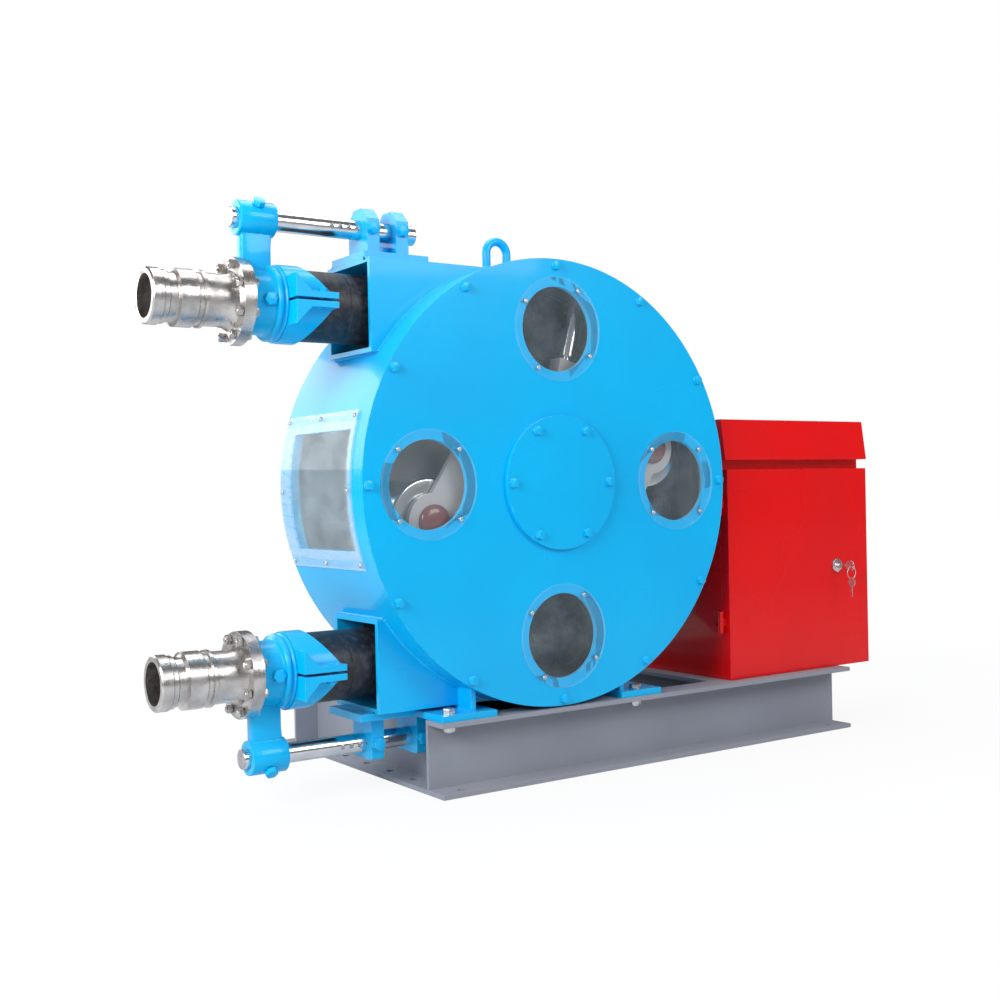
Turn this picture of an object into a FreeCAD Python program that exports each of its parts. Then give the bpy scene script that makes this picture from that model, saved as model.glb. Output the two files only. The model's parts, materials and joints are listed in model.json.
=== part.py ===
"""Industrial peristaltic (squeeze hose) pump: drum casing, roller rotor, hose, drive, base and cabinet.

Everything is modelled in the pump's own frame, in millimetres: the origin is the centre of the
front cover's outer face, +X to the right, +Y backwards along the rotor shaft, +Z up.  When a part
is written it is moved to the frame of the whole object, whose origin is the middle of the base
frame's footprint on the floor.  Angles about the shaft count from +X towards +Z.
"""
import FreeCAD
import Part
import math
import os

# Screws and bolts, as shares of the thread size
HEX_ACROSS = 1.5
HEAD_HIGH = 0.65
NUT_HIGH = 0.8
PAN_WIDE = 0.9
PAN_TOP = 0.7
PAN_HIGH = 0.55
THREAD_OUT = 4.0

# Drum casing
DRUM_R = 500.0
DRUM_WALL = 20.0
COVER_T = 12.0
RING_T = 23.0
BACK_PLATE_T = 20.0
SKIRT = 25.0
COVER_BOLTS = 12
COVER_BOLT_R = 485.0
COVER_BOLT_D = 12.0
CENTER_HOLE_R = 100.0
CENTER_COVER_R = 150.0
CENTER_COVER_T = 10.0
CENTER_BOLT_R = 133.0
CENTER_BOLTS = 6

# Clear windows in the front cover and in the drum's side
SIGHT_ORBIT = 343.0
SIGHT_HOLE_R = 95.0
SIGHT_PANE_R = 116.5
SIGHT_PANE_T = 6.0
SIGHT_SCREW_R = 105.0
SIGHT_SCREW_D = 6.0
SIGHT_SCREW_TURN = 12.0
SIDE_OPEN_LOW = 136.0
SIDE_OPEN_HIGH = 118.0
SIDE_OPEN_MARGIN = 55.0
SIDE_OPEN_REAR = 10.0
SIDE_LAP = 40.0
SIDE_PANE_T = 4.0
SCREW_EDGE = 13.0

# Hose, its rubber bed and the pinch under a press roller
HOSE_OD = 150.0
HOSE_WALL = 25.0
HOSE_PINCHED = 43.2
BORE_PINCHED = 2.0
PINCH_SPREAD = 35.0
PINCH_STEPS = 36
BED_T = 22.3
SOFT_GAP = 0.7

# Rotor
ROTOR_ANGLE = 14.5
ROLLER_R = 95.0
ROLLER_GAP = 0.8
ROLLER_SIDE_GAP = 2.0
HOSE_SIDE_GAP = 13.5
ROTOR_PLATE_T = 16.0
ROTOR_TIP = 62.0
ROTOR_WAIST = 190.0
ROTOR_WAIST_HALF = 162.0
AXLE_R = 30.0
CAP_R = 38.0
CAP_H = 16.0
FRONT_GAP = 28.0
REAR_GAP = 35.0
SHAFT_R = 45.0
HUB_R = 75.0
GUIDE_ANGLE = 60.0
GUIDE_R = 24.0
GUIDE_INNER = 300.0
GUIDE_LENGTH = 145.0
GUIDE_JOURNAL_R = 14.0
JOURNAL_GAP = 1.0
GUIDE_GAP = 1.0
BRACKET_INNER = 150.0
BRACKET_OUTER = 290.0
BRACKET_WIDTH = 56.0
BRACKET_DEPTH = 38.0
RUN = 0.05

# Hose ports on the drum
PORT_REACH = 430.0
PORT_WALL = 10.0
PORT_SIDE_GAP = 12.5
PORT_TOP_GAP = 15.0

# Hose-end carriages: clamp, coupling with arm, flanged stainless fittings, tension rod
CLAMP_GAP = 80.0
CLAMP_L = 95.0
CLAMP_WALL = 7.0
CLAMP_SPLIT = 3.0
CLAMP_TIP_L = 53.0
CLAMP_FIT = 0.4
EAR_OUT = 112.0
EAR_T = 13.0
EAR_L = 60.0
EAR_RISE = 36.0
COLLAR_R = 78.5
COLLAR_L = 22.0
BODY_R = 66.0
BODY_L = 53.0
FLANGE_R = 90.0
FLANGE_T = 12.5
FLANGE_BOLT_R = 77.0
FLANGE_BOLTS = 8
FLANGE_BOLT_D = 12.0
SLEEVE_R = 49.5
SLEEVE_WALL = 5.5
SLEEVE_IN_HOSE = 105.0
ADAPTER_NECK_L = 60.0
ADAPTER_NECK_R = 53.5
ADAPTER_LIP_L = 10.0
ADAPTER_BELT_L = 10.0
ADAPTER_RING_L = 40.0
ADAPTER_RING_R = 58.5
ADAPTER_GROOVE_L = 20.0
ADAPTER_TUBE_R = 50.0
ADAPTER_STEP_L = 9.0
ADAPTER_STEP_R = 53.5
ADAPTER_END_L = 26.0
ADAPTER_END_R = 56.5
ROD_R = 21.0
ROD_RISE = 73.0
ROD_END = 269.0
ROD_STUB = 6.0
BOSS_R = 36.0
BOSS_L = 80.0
ARM_T = 30.0
INDEX_HOLES = 4
INDEX_PITCH = 20.0
INDEX_FIRST = 417.0
INDEX_D = 11.0

# Rod brackets on the ports
BRACKET_PLATE_T = 16.0
BRACKET_PLATE_HALF = 75.0
BLOCK_T = 30.0
BLOCK_HALF = 42.0
BLOCK_TOP = 45.0
BLOCK_CHAMFER = 24.0
BLOCK_A = 389.0
BLOCK_B = 317.0
LOW_BLOCK_A = 404.0
LOW_BLOCK_B = 292.0
LOW_BLOCK_TOP = 34.0
LOW_BLOCK_CHAMFER = 4.0
LOCK_BOLT_D = 16.0
LOCK_GAP = 0.5
SET_GRIP = 14.0
SET_TO_COLLAR = 16.0

# Base frame of channel steel
BASE_LENGTH = 1270.0
BASE_WIDTH = 790.0
BASE_LEFT = 325.0
BASE_FRONT = 6.0
CHANNEL_H = 160.0
CHANNEL_W = 70.0
WEB_T = 8.0
FLANGE_CHANNEL_T = 10.0
BASE_DROP = 3.5
FIX_HOLE_R = 9.0
FIX_EDGE = 60.0
END_HOLES = 5
CABINET_MEMBER_IN = 24.0

# Casing feet
FOOT_T = 14.0
LEG_T = 12.0
LEG_FRONT = 24.0
FOOT_BOLT_D = 16.0
FOOT_DEPTH = 381.0
FOOT_FRONT = 4.0
LEFT_FOOT = (-318.0, -180.0)
LEFT_LEG = -228.0
LEFT_BOLTS = ((-288.0, 29.0), (-202.0, 350.0))
RIGHT_FOOT = (170.0, 290.0)
RIGHT_LEG = 186.0
RIGHT_BOLTS = ((230.0, 29.0), (230.0, 350.0))

# Lifting eye
EYE_Y = 235.0
EYE_ROD_R = 10.0
EYE_BEND_R = 29.0
EYE_RISE = 88.0
EYE_PAD = 55.0
EYE_PAD_HALF = 22.0
EYE_PAD_T = 8.0

# Drive: bearing housing, worm gearbox, motor
HOUSING_R = 110.0
HOUSING_FLANGE_R = 150.0
HOUSING_L = 60.0
BEARING_R = 75.0
SPIGOT_R = 99.0
BEARING_INSET = 6.0
BEARING_W = 30.0
GEARBOX_R = 165.0
GEARBOX_WALL = 15.0
GEARBOX_L = 205.0
WHEEL_R = 121.5
WHEEL_W = 60.0
WHEEL_TEETH = 40
TOOTH_H = 8.5
TOOTH_FOOT = 0.32
TOOTH_TIP = 0.18
WORM_R = 38.0
WORM_L = 140.0
WORM_GAP = 0.5
TUNNEL_R = 72.0
TUNNEL_WALL = 14.0
TUNNEL_HALF = 170.0
MOTOR_SHAFT_R = 19.0
MOTOR_R = 126.0
MOTOR_L = 335.0
FIN_H = 14.0
FINS = 30
SHIELD_L = 22.0
FAN_COVER_L = 120.0
FAN_COVER_T = 3.0
GRILLE_FIRST = 45.0
GRILLE_PITCH = 20.0
GRILLE_RINGS = 4
GRILLE_SLOT = 9.0
FAN_R = 105.0
FAN_BLADE_T = 4.0
FAN_BLADES = 8
TERMINAL_L = 120.0
TERMINAL_H = 64.0

# Control cabinet
CABINET_GAP = 45.0
CABINET_FRONT = 30.0
CABINET_W = 520.0
CABINET_H = 529.5
CABINET_DEPTH = 350.0
DOOR_D = 27.0
DOOR_GAP = 1.0
SHEET_T = 3.0
NECK_H = 23.0
HOOD_H = 102.0
HOOD_W = 527.0
HOOD_SHIFT = 14.0
HOOD_OVER = 9.0
HOOD_SLOPE = 14.0
HINGE_R = 7.0
HINGE_PIN_R = 3.5
HINGE_OUT = 9.0
HINGE_BACK = 5.0
HINGE_L = 54.0
HINGE_HEIGHTS = (118.0, 414.0)
LOCK_X = 395.0
LOCK_Z = 270.0
LOCK_R = 17.0
BARREL_R = 8.0
LOCK_ROSE_T = 6.0
BARREL_OUT = 16.0
BARREL_IN = 20.0
KEY_R = 3.0
KEY_OUT = 34.0
KEY_IN = 3.0
KEY_T = 3.0
KEY_BOW_R = 14.0
KEY_EYE_R = 5.0
KEY_LAP = 2.0
KEY_EYE_WALL = 1.0
KEY_RING_R = 16.0
KEY_WIRE_R = 1.2
SPARE_T = 2.4
SPARE_BOW_R = 12.0
SPARE_EYE_R = 3.5
SPARE_BLADE_W = 7.0
SPARE_BLADE_L = 29.0
PANEL_GAP = 15.0
PANEL_EDGE = 45.0
POST_R = 6.0
POST_IN = 20.0
GEAR_EDGE = 30.0
INVERTER_W = 180.0
INVERTER_D = 160.0
INVERTER_H = 260.0
CONTACTOR_W = 55.0
CONTACTOR_D = 90.0
CONTACTOR_H = 90.0
CONTACTOR_PITCH = 70.0
RAIL_SIZE = 45.0

# Values that follow from the ones above
TRACK_R = DRUM_R - DRUM_WALL - BED_T
HOSE_OUTER = TRACK_R - SOFT_GAP
HOSE_ORBIT = HOSE_OUTER - HOSE_OD / 2
HOSE_BORE = HOSE_OD - 2 * HOSE_WALL
ROLLER_ORBIT = HOSE_OUTER - HOSE_PINCHED - ROLLER_GAP - ROLLER_R
FLAT_WIDTH = math.pi * (HOSE_OD - HOSE_PINCHED) / 2 + HOSE_PINCHED
ROTOR_HALF = FLAT_WIDTH / 2 + HOSE_SIDE_GAP
HOSE_Y = COVER_T + FRONT_GAP + ROTOR_PLATE_T + ROTOR_HALF
PLATE_FRONT_Y = HOSE_Y - ROTOR_HALF - ROTOR_PLATE_T
PLATE_REAR_Y = HOSE_Y + ROTOR_HALF
BACK_Y = PLATE_REAR_Y + ROTOR_PLATE_T + REAR_GAP
DRUM_END_Y = BACK_Y + BACK_PLATE_T + SKIRT
PORT_HALF_Y = HOSE_OD / 2 + PORT_SIDE_GAP + PORT_WALL
PORT_HALF_Z = HOSE_OD / 2 + PORT_TOP_GAP + PORT_WALL
PORT_TOP = HOSE_ORBIT + PORT_HALF_Z
ROD_Z = PORT_TOP + ROD_RISE
CLAMP_END = -PORT_REACH - CLAMP_GAP
COLLAR_X = CLAMP_END - CLAMP_L
BODY_X = COLLAR_X - COLLAR_L
JOINT_X = BODY_X - BODY_L - FLANGE_T
BASE_TOP = -DRUM_R - BASE_DROP
BASE_BOTTOM = BASE_TOP - CHANNEL_H
GEARBOX_Y = BACK_Y + BACK_PLATE_T + HOUSING_L
GEAR_Y = GEARBOX_Y + GEARBOX_L / 2 + GEARBOX_WALL / 2
WORM_Z = -(WHEEL_R + WORM_GAP + WORM_R)
MOTOR_X = TUNNEL_HALF + GEARBOX_WALL
CABINET_X = DRUM_R + CABINET_GAP
CABINET_TOP = BASE_TOP + CABINET_H
ROW_SHIFT = FreeCAD.Vector(BASE_LEFT - BASE_LENGTH / 2, BASE_FRONT - BASE_WIDTH / 2, -BASE_BOTTOM)

AXIS_X = FreeCAD.Vector(1, 0, 0)
AXIS_Y = FreeCAD.Vector(0, 1, 0)
AXIS_Z = FreeCAD.Vector(0, 0, 1)
ORIGIN = FreeCAD.Vector(0, 0, 0)


def vec(x, y, z):
    return FreeCAD.Vector(x, y, z)


def box(x0, x1, y0, y1, z0, z1):
    return Part.makeBox(x1 - x0, y1 - y0, z1 - z0, vec(x0, y0, z0))


def rod_x(r, x0, x1, y, z):
    return Part.makeCylinder(r, x1 - x0, vec(x0, y, z), AXIS_X)


def rod_y(r, y0, y1, x=0.0, z=0.0):
    return Part.makeCylinder(r, y1 - y0, vec(x, y0, z), AXIS_Y)


def rod_z(r, z0, z1, x, y):
    return Part.makeCylinder(r, z1 - z0, vec(x, y, z0), AXIS_Z)


def ring_x(r_out, r_in, x0, x1, y, z):
    return rod_x(r_out, x0, x1, y, z).cut(rod_x(r_in, x0, x1, y, z))


def ring_y(r_out, r_in, y0, y1, x=0.0, z=0.0):
    return rod_y(r_out, y0, y1, x, z).cut(rod_y(r_in, y0, y1, x, z))


def outline(points, along):
    """A flat outline through the points, extruded by the vector."""
    wire = Part.makePolygon(points + points[:1])
    return Part.Face(wire).extrude(along)


def fuse_all(shapes):
    return shapes[0].multiFuse(shapes[1:]).removeSplitter()


def cut_all(shape, tools):
    return shape.cut(Part.makeCompound(tools))


def turned(shape, angle):
    """The shape turned about the rotor's shaft, from +X towards +Z."""
    copy = shape.copy()
    copy.rotate(ORIGIN, AXIS_Y, -angle)
    return copy


def polar(radius, angle, y):
    a = math.radians(angle)
    return vec(radius * math.cos(a), y, radius * math.sin(a))


def placed(shape, at, out):
    """A shape built along +Z, moved to a point and pointed along a direction."""
    copy = shape.copy()
    copy.Placement = FreeCAD.Placement(at, FreeCAD.Rotation(AXIS_Z, out))
    return copy


def hexagon(across, height):
    corner = across / math.sqrt(3)
    turns = [k * math.pi / 3 for k in range(6)]
    points = [vec(corner * math.cos(a), corner * math.sin(a), 0) for a in turns]
    return outline(points, vec(0, 0, height))


def hex_bolt(at, out, size, grip):
    """A hexagon bolt whose head stands on the surface at the point, with its shank going in."""
    head = hexagon(HEX_ACROSS * size, HEAD_HIGH * size)
    shank = Part.makeCylinder(size / 2, grip, vec(0, 0, -grip))
    return placed(head.fuse(shank), at, out)


def pan_screw(at, out, size, grip):
    head = Part.makeCone(PAN_WIDE * size, PAN_TOP * size, PAN_HIGH * size)
    shank = Part.makeCylinder(size / 2, grip, vec(0, 0, -grip))
    return placed(head.fuse(shank), at, out)


def hex_nut(at, out, size):
    nut = hexagon(HEX_ACROSS * size, NUT_HIGH * size)
    hole = Part.makeCylinder(size / 2, NUT_HIGH * size)
    return placed(nut.cut(hole), at, out)


def toothed(r_root, r_tip, count, along, start):
    """A prism with evenly spaced teeth or fins, with its axis along +X or +Y."""
    points = []
    for k in range(count):
        corners = ((-TOOTH_FOOT, r_root), (-TOOTH_TIP, r_tip), (TOOTH_TIP, r_tip), (TOOTH_FOOT, r_root))
        for share, radius in corners:
            a = 2 * math.pi * (k + share) / count
            points.append(start + in_plane(along, radius * math.cos(a), radius * math.sin(a)))
    return outline(points, along)


def in_plane(along, u, v):
    """A vector across the given axis direction."""
    return vec(u, 0, v) if along.y else vec(0, u, v)


def export(name, *shapes):
    """Writes one named part, in the whole object's frame."""
    whole = shapes[0] if len(shapes) == 1 else Part.makeCompound(list(shapes))
    moved = whole.copy()
    moved.translate(ROW_SHIFT)
    moved.exportStep("parts/" + name + ".step")


def mirrored(shape):
    """The same piece for the lower port, mirrored in the shaft's level."""
    return shape.mirror(ORIGIN, AXIS_Z)


# ---- Base frame -------------------------------------------------------------------------------


def channel(length, flange_up=True):
    """Channel steel along +X with its web's back at y = 0 and its flanges towards -Y."""
    body = box(0, length, -CHANNEL_W, 0, 0, CHANNEL_H)
    roof = CHANNEL_H - FLANGE_CHANNEL_T if flange_up else CHANNEL_H
    return body.cut(box(0, length, -CHANNEL_W, -WEB_T, FLANGE_CHANNEL_T, roof))


def laid(shape, x, y, turn=0.0):
    """A base member turned about the vertical and set down at the base's level."""
    copy = shape.copy()
    copy.rotate(ORIGIN, AXIS_Z, turn)
    copy.translate(vec(x, y, BASE_BOTTOM))
    return copy


def base_points():
    left = -BASE_LEFT
    return left, left + BASE_LENGTH, -BASE_FRONT, -BASE_FRONT + BASE_WIDTH


def long_channels():
    left, right, front, rear = base_points()
    row = FIX_HOLE_R * 2
    holes = []
    for x in (left + FIX_EDGE, right - FIX_EDGE):
        for y in (front + CHANNEL_W / 2 - row / 2, rear - CHANNEL_W / 2 + row / 2):
            holes.append(rod_z(FIX_HOLE_R, BASE_BOTTOM, BASE_BOTTOM + FLANGE_CHANNEL_T, x, y))
    foot_holes = [
        rod_z(FOOT_BOLT_D / 2, BASE_TOP - FLANGE_CHANNEL_T, BASE_TOP, x, y)
        for x, y in (LEFT_BOLTS[0], RIGHT_BOLTS[0])
    ]
    front_channel = laid(channel(BASE_LENGTH), left, front + CHANNEL_W)
    rear_channel = laid(channel(BASE_LENGTH), right, rear - CHANNEL_W, 180)
    export("base_front_channel", cut_all(front_channel, holes + foot_holes))
    export("base_rear_channel", cut_all(rear_channel, holes))


def end_members():
    left, right, front, rear = base_points()
    span = BASE_WIDTH - 2 * CHANNEL_W
    angle = laid(channel(span, flange_up=False), left + CHANNEL_W, rear - CHANNEL_W, -90)
    pitch = span / (END_HOLES + 1)
    row_x = left + (CHANNEL_W - WEB_T) / 2
    rows = [front + CHANNEL_W + pitch * (k + 1) for k in range(END_HOLES)]
    holes = [rod_z(FIX_HOLE_R, BASE_BOTTOM, BASE_TOP, row_x, y) for y in rows]
    right_channel = laid(channel(span), right - CHANNEL_W, front + CHANNEL_W, 90)
    export("base_end_channels", cut_all(angle, holes), right_channel)


def cross_members():
    left, right, front, rear = base_points()
    span = BASE_WIDTH - 2 * CHANNEL_W
    bolt_x, bolt_y = RIGHT_BOLTS[1]
    foot_member_x = bolt_x - (CHANNEL_W + WEB_T / 2) / 2
    foot_member = laid(channel(span), foot_member_x, front + CHANNEL_W, 90)
    cabinet_member = laid(channel(span), CABINET_X + CABINET_MEMBER_IN, rear - CHANNEL_W, -90)
    stub_x = left + CHANNEL_W
    stub_y = LEFT_BOLTS[1][1] + CHANNEL_W / 2 + WEB_T
    stub = laid(channel(foot_member_x - stub_x), stub_x, stub_y)
    holes = [
        rod_z(FOOT_BOLT_D / 2, BASE_TOP - FLANGE_CHANNEL_T, BASE_TOP, x, y)
        for x, y in (LEFT_BOLTS[1], RIGHT_BOLTS[1])
    ]
    export(
        "base_cross_channels",
        cut_all(foot_member, holes),
        cabinet_member,
        cut_all(stub, holes),
    )


# ---- Casing -----------------------------------------------------------------------------------


def port_hollow(z_sign):
    """The rectangular way that the hose takes through the drum's wall and its port."""
    half_y = PORT_HALF_Y - PORT_WALL
    half_z = PORT_HALF_Z - PORT_WALL
    z = z_sign * HOSE_ORBIT
    return box(-PORT_REACH, 0, HOSE_Y - half_y, HOSE_Y + half_y, z - half_z, z + half_z)


def side_opening():
    front = COVER_T + SIDE_OPEN_MARGIN
    rear = BACK_Y - SIDE_OPEN_REAR
    return box(-DRUM_R - SIDE_PANE_T, -DRUM_R / 2, front, rear, -SIDE_OPEN_LOW, SIDE_OPEN_HIGH)


def side_pane_box():
    """The rectangle, as seen from the side, that the curved window sheet covers."""
    front = COVER_T + SIDE_OPEN_MARGIN - SIDE_LAP / 2
    back = DRUM_END_Y - SIDE_PANE_T
    return front, back, -SIDE_OPEN_LOW - SIDE_LAP, SIDE_OPEN_HIGH + SIDE_LAP


def side_screw_points():
    front, back, low, high = side_pane_box()
    middle = (front + back) / 2
    near = front + SCREW_EDGE
    far = back - SCREW_EDGE
    rows = [(y, z) for z in (low + SCREW_EDGE, high - SCREW_EDGE) for y in (near, middle, far)]
    rows += [(near, (low + high) / 2), (far, (low + high) / 2)]
    points = []
    for y, z in rows:
        angle = 180 - math.degrees(math.asin(z / DRUM_R))
        points.append((polar(DRUM_R + SIDE_PANE_T, angle, y), polar(1, angle, 0)))
    return points


def cover_bolt_points():
    return [polar(COVER_BOLT_R, 360 / COVER_BOLTS * k, 0) for k in range(COVER_BOLTS)]


def casing():
    shell = ring_y(DRUM_R, DRUM_R - DRUM_WALL, COVER_T, DRUM_END_Y)
    ring = ring_y(DRUM_R - DRUM_WALL, TRACK_R, COVER_T, COVER_T + RING_T)
    tools = [port_hollow(1), port_hollow(-1), side_opening()]
    tools += [rod_y(COVER_BOLT_D / 2, COVER_T, COVER_T + RING_T, p.x, p.z) for p in cover_bolt_points()]
    drill = Part.makeCylinder(SIGHT_SCREW_D / 2, DRUM_WALL, vec(0, 0, -DRUM_WALL))
    tools += [placed(drill, at, out) for at, out in side_screw_points()]
    export("casing_shell", cut_all(shell.fuse(ring), tools))
    export("casing_back_plate", ring_y(DRUM_R - DRUM_WALL, SPIGOT_R, BACK_Y, BACK_Y + BACK_PLATE_T))


def port_block():
    """The whole room that the upper port takes, walls included."""
    y0 = HOSE_Y - PORT_HALF_Y
    y1 = HOSE_Y + PORT_HALF_Y
    return box(-PORT_REACH, 0, y0, y1, HOSE_ORBIT - PORT_HALF_Z, PORT_TOP)


def ports():
    drum = rod_y(DRUM_R, 0, DRUM_END_Y)
    port_box = port_block().cut(port_hollow(1)).cut(drum)
    export("outlet_port_box", port_box)
    export("inlet_port_box", mirrored(port_box))


def foot(span, leg_x, bolts):
    top = BASE_TOP + FOOT_T
    end = FOOT_FRONT + FOOT_DEPTH
    plate = box(span[0], span[1], FOOT_FRONT, end, BASE_TOP, top)
    leg = box(leg_x - LEG_T / 2, leg_x + LEG_T / 2, LEG_FRONT, end, top, -DRUM_R / 2)
    leg = leg.cut(rod_y(DRUM_R, 0, DRUM_END_Y)).cut(mirrored(port_block()))
    holes = [rod_z(FOOT_BOLT_D / 2, BASE_TOP, top, x, y) for x, y in bolts]
    return cut_all(fuse_all([plate, leg]), holes)


def feet():
    export("casing_feet", foot(LEFT_FOOT, LEFT_LEG, LEFT_BOLTS), foot(RIGHT_FOOT, RIGHT_LEG, RIGHT_BOLTS))
    under = BASE_TOP - FLANGE_CHANNEL_T
    top = BASE_TOP + FOOT_T
    hardware = []
    for x, y in LEFT_BOLTS + RIGHT_BOLTS:
        nut_h = NUT_HIGH * FOOT_BOLT_D
        hardware.append(hex_bolt(vec(x, y, top), AXIS_Z, FOOT_BOLT_D, top - under + nut_h + THREAD_OUT))
        hardware.append(hex_nut(vec(x, y, under - nut_h), AXIS_Z, FOOT_BOLT_D))
    export("foot_bolts", *hardware)


def sight_centres():
    return [(polar(SIGHT_ORBIT, 90.0 * k, 0), 90.0 * k) for k in range(4)]


def sight_screw_points():
    points = []
    for centre, angle in sight_centres():
        turn = SIGHT_SCREW_TURN if angle in (90.0, 270.0) else 0.0
        for k in range(4):
            points.append(centre + polar(SIGHT_SCREW_R, 45 + 90 * k + turn, 0))
    return points


def front_cover():
    plate = rod_y(DRUM_R, 0, COVER_T)
    tools = [rod_y(CENTER_HOLE_R, 0, COVER_T)]
    tools += [rod_y(SIGHT_HOLE_R, 0, COVER_T, c.x, c.z) for c, angle in sight_centres()]
    tools += [rod_y(COVER_BOLT_D / 2, 0, COVER_T, p.x, p.z) for p in cover_bolt_points()]
    tools += [rod_y(SIGHT_SCREW_D / 2, 0, COVER_T, p.x, p.z) for p in sight_screw_points()]
    center_bolts = [polar(CENTER_BOLT_R, 360 / CENTER_BOLTS * k, 0) for k in range(CENTER_BOLTS)]
    bolt_holes = [rod_y(COVER_BOLT_D / 2, -CENTER_COVER_T, COVER_T, p.x, p.z) for p in center_bolts]
    export("front_cover", cut_all(plate, tools + bolt_holes))
    export("center_cover", cut_all(rod_y(CENTER_COVER_R, -CENTER_COVER_T, 0), bolt_holes))
    bolts = [hex_bolt(p, -AXIS_Y, COVER_BOLT_D, COVER_T + RING_T) for p in cover_bolt_points()]
    grip = CENTER_COVER_T + COVER_T
    bolts += [hex_bolt(p - AXIS_Y * CENTER_COVER_T, -AXIS_Y, COVER_BOLT_D, grip) for p in center_bolts]
    export("cover_bolts", *bolts)


def windows():
    holes = [rod_y(SIGHT_SCREW_D / 2, -SIGHT_PANE_T, 0, p.x, p.z) for p in sight_screw_points()]
    discs = [rod_y(SIGHT_PANE_R, -SIGHT_PANE_T, 0, c.x, c.z) for c, angle in sight_centres()]
    export("sight_windows", *[cut_all(disc, holes) for disc in discs])
    front, back, low, high = side_pane_box()
    sheet = ring_y(DRUM_R + SIDE_PANE_T, DRUM_R, front, back)
    sheet = sheet.common(box(-2 * DRUM_R, -DRUM_R / 2, front, back, low, high))
    drill = Part.makeCylinder(SIGHT_SCREW_D / 2, 2 * SIDE_PANE_T, vec(0, 0, -SIDE_PANE_T))
    side_holes = [placed(drill, at, out) for at, out in side_screw_points()]
    export("side_window_pane", cut_all(sheet, side_holes))
    seats = [p - AXIS_Y * SIGHT_PANE_T for p in sight_screw_points()]
    screws = [pan_screw(p, -AXIS_Y, SIGHT_SCREW_D, SIGHT_PANE_T + COVER_T) for p in seats]
    grip = SIDE_PANE_T + DRUM_WALL / 2
    screws += [pan_screw(at, out, SIGHT_SCREW_D, grip) for at, out in side_screw_points()]
    export("window_screws", *screws)


def lifting_eye():
    bend_z = DRUM_R + EYE_RISE - EYE_BEND_R - EYE_ROD_R
    pad_top = DRUM_R + EYE_PAD_T
    y0 = EYE_Y - EYE_PAD_HALF
    y1 = EYE_Y + EYE_PAD_HALF
    pad = box(-EYE_PAD, EYE_PAD, y0, y1, DRUM_R - 2 * EYE_PAD_T, pad_top)
    pad = pad.cut(rod_y(DRUM_R, 0, DRUM_END_Y))
    legs = [rod_z(EYE_ROD_R, pad_top - 1, bend_z, side * EYE_BEND_R, EYE_Y) for side in (-1, 1)]
    section = Part.Face(Part.Wire(Part.makeCircle(EYE_ROD_R, vec(EYE_BEND_R, EYE_Y, bend_z), AXIS_Z)))
    bend = section.revolve(vec(0, EYE_Y, bend_z), -AXIS_Y, 180)
    export("lifting_eye", fuse_all([pad, bend] + legs))


# ---- Hose -------------------------------------------------------------------------------------


def hose_oval(angle, bore):
    """The hose's outer or inner outline at an angle near the pinch, in its radial plane."""
    squeeze = math.cos(math.pi * (angle - ROTOR_ANGLE) / (2 * PINCH_SPREAD)) ** 2
    outer = HOSE_OD - (HOSE_OD - HOSE_PINCHED) * squeeze
    round_d = HOSE_BORE if bore else HOSE_OD
    flat_d = BORE_PINCHED if bore else HOSE_PINCHED
    thick = round_d - (round_d - flat_d) * squeeze
    wide = math.pi * (round_d - thick) / 2 + thick
    oval = Part.Ellipse(ORIGIN, max(wide, thick) / 2, thick / 2).toShape()
    radial = polar(1, angle, 0)
    turn = FreeCAD.Rotation(AXIS_Y, radial, AXIS_Y.cross(radial), "XYZ")
    oval.Placement = FreeCAD.Placement(polar(HOSE_OUTER - outer / 2, angle, HOSE_Y), turn)
    return Part.Wire(oval)


def hose_pinch(bore):
    """Short lofts from one oval to the next, which together make the pinched stretch."""
    step = 2 * PINCH_SPREAD / PINCH_STEPS
    start = ROTOR_ANGLE - PINCH_SPREAD
    ovals = [hose_oval(start + step * k, bore) for k in range(PINCH_STEPS + 1)]
    return [Part.makeLoft([ovals[k], ovals[k + 1]], True, True) for k in range(PINCH_STEPS)]


def hose_run(radius, end_x, sign):
    """A bend from the pinch round to the top or bottom, with the straight run out of the port."""
    start = ROTOR_ANGLE + sign * PINCH_SPREAD
    sweep = sign * 90 - start
    centre = polar(HOSE_ORBIT, start, HOSE_Y)
    face = Part.Face(Part.Wire(Part.makeCircle(radius, centre, AXIS_Y.cross(polar(1, start, 0)))))
    bend = face.revolve(ORIGIN, -AXIS_Y, sweep)
    return bend.fuse(rod_x(radius, end_x, 0, HOSE_Y, sign * HOSE_ORBIT))


def hose():
    end_x = COLLAR_X + CLAMP_FIT
    outer = fuse_all(hose_pinch(False) + [hose_run(HOSE_OD / 2, end_x, sign) for sign in (1, -1)])
    inner = fuse_all(hose_pinch(True) + [hose_run(HOSE_BORE / 2, end_x, sign) for sign in (1, -1)])
    export("hose", outer.cut(inner))
    half = FLAT_WIDTH / 2 + HOSE_SIDE_GAP / 2
    bed = ring_y(DRUM_R - DRUM_WALL, TRACK_R, HOSE_Y - half, HOSE_Y + half)
    export("hose_bed", bed.common(box(0, DRUM_R, 0, DRUM_END_Y, -DRUM_R, DRUM_R)))


# ---- Rotor ------------------------------------------------------------------------------------


def roller_points():
    return [(polar(ROLLER_ORBIT, ROTOR_ANGLE + 180 * k, 0), "ab"[k]) for k in range(2)]


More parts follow.
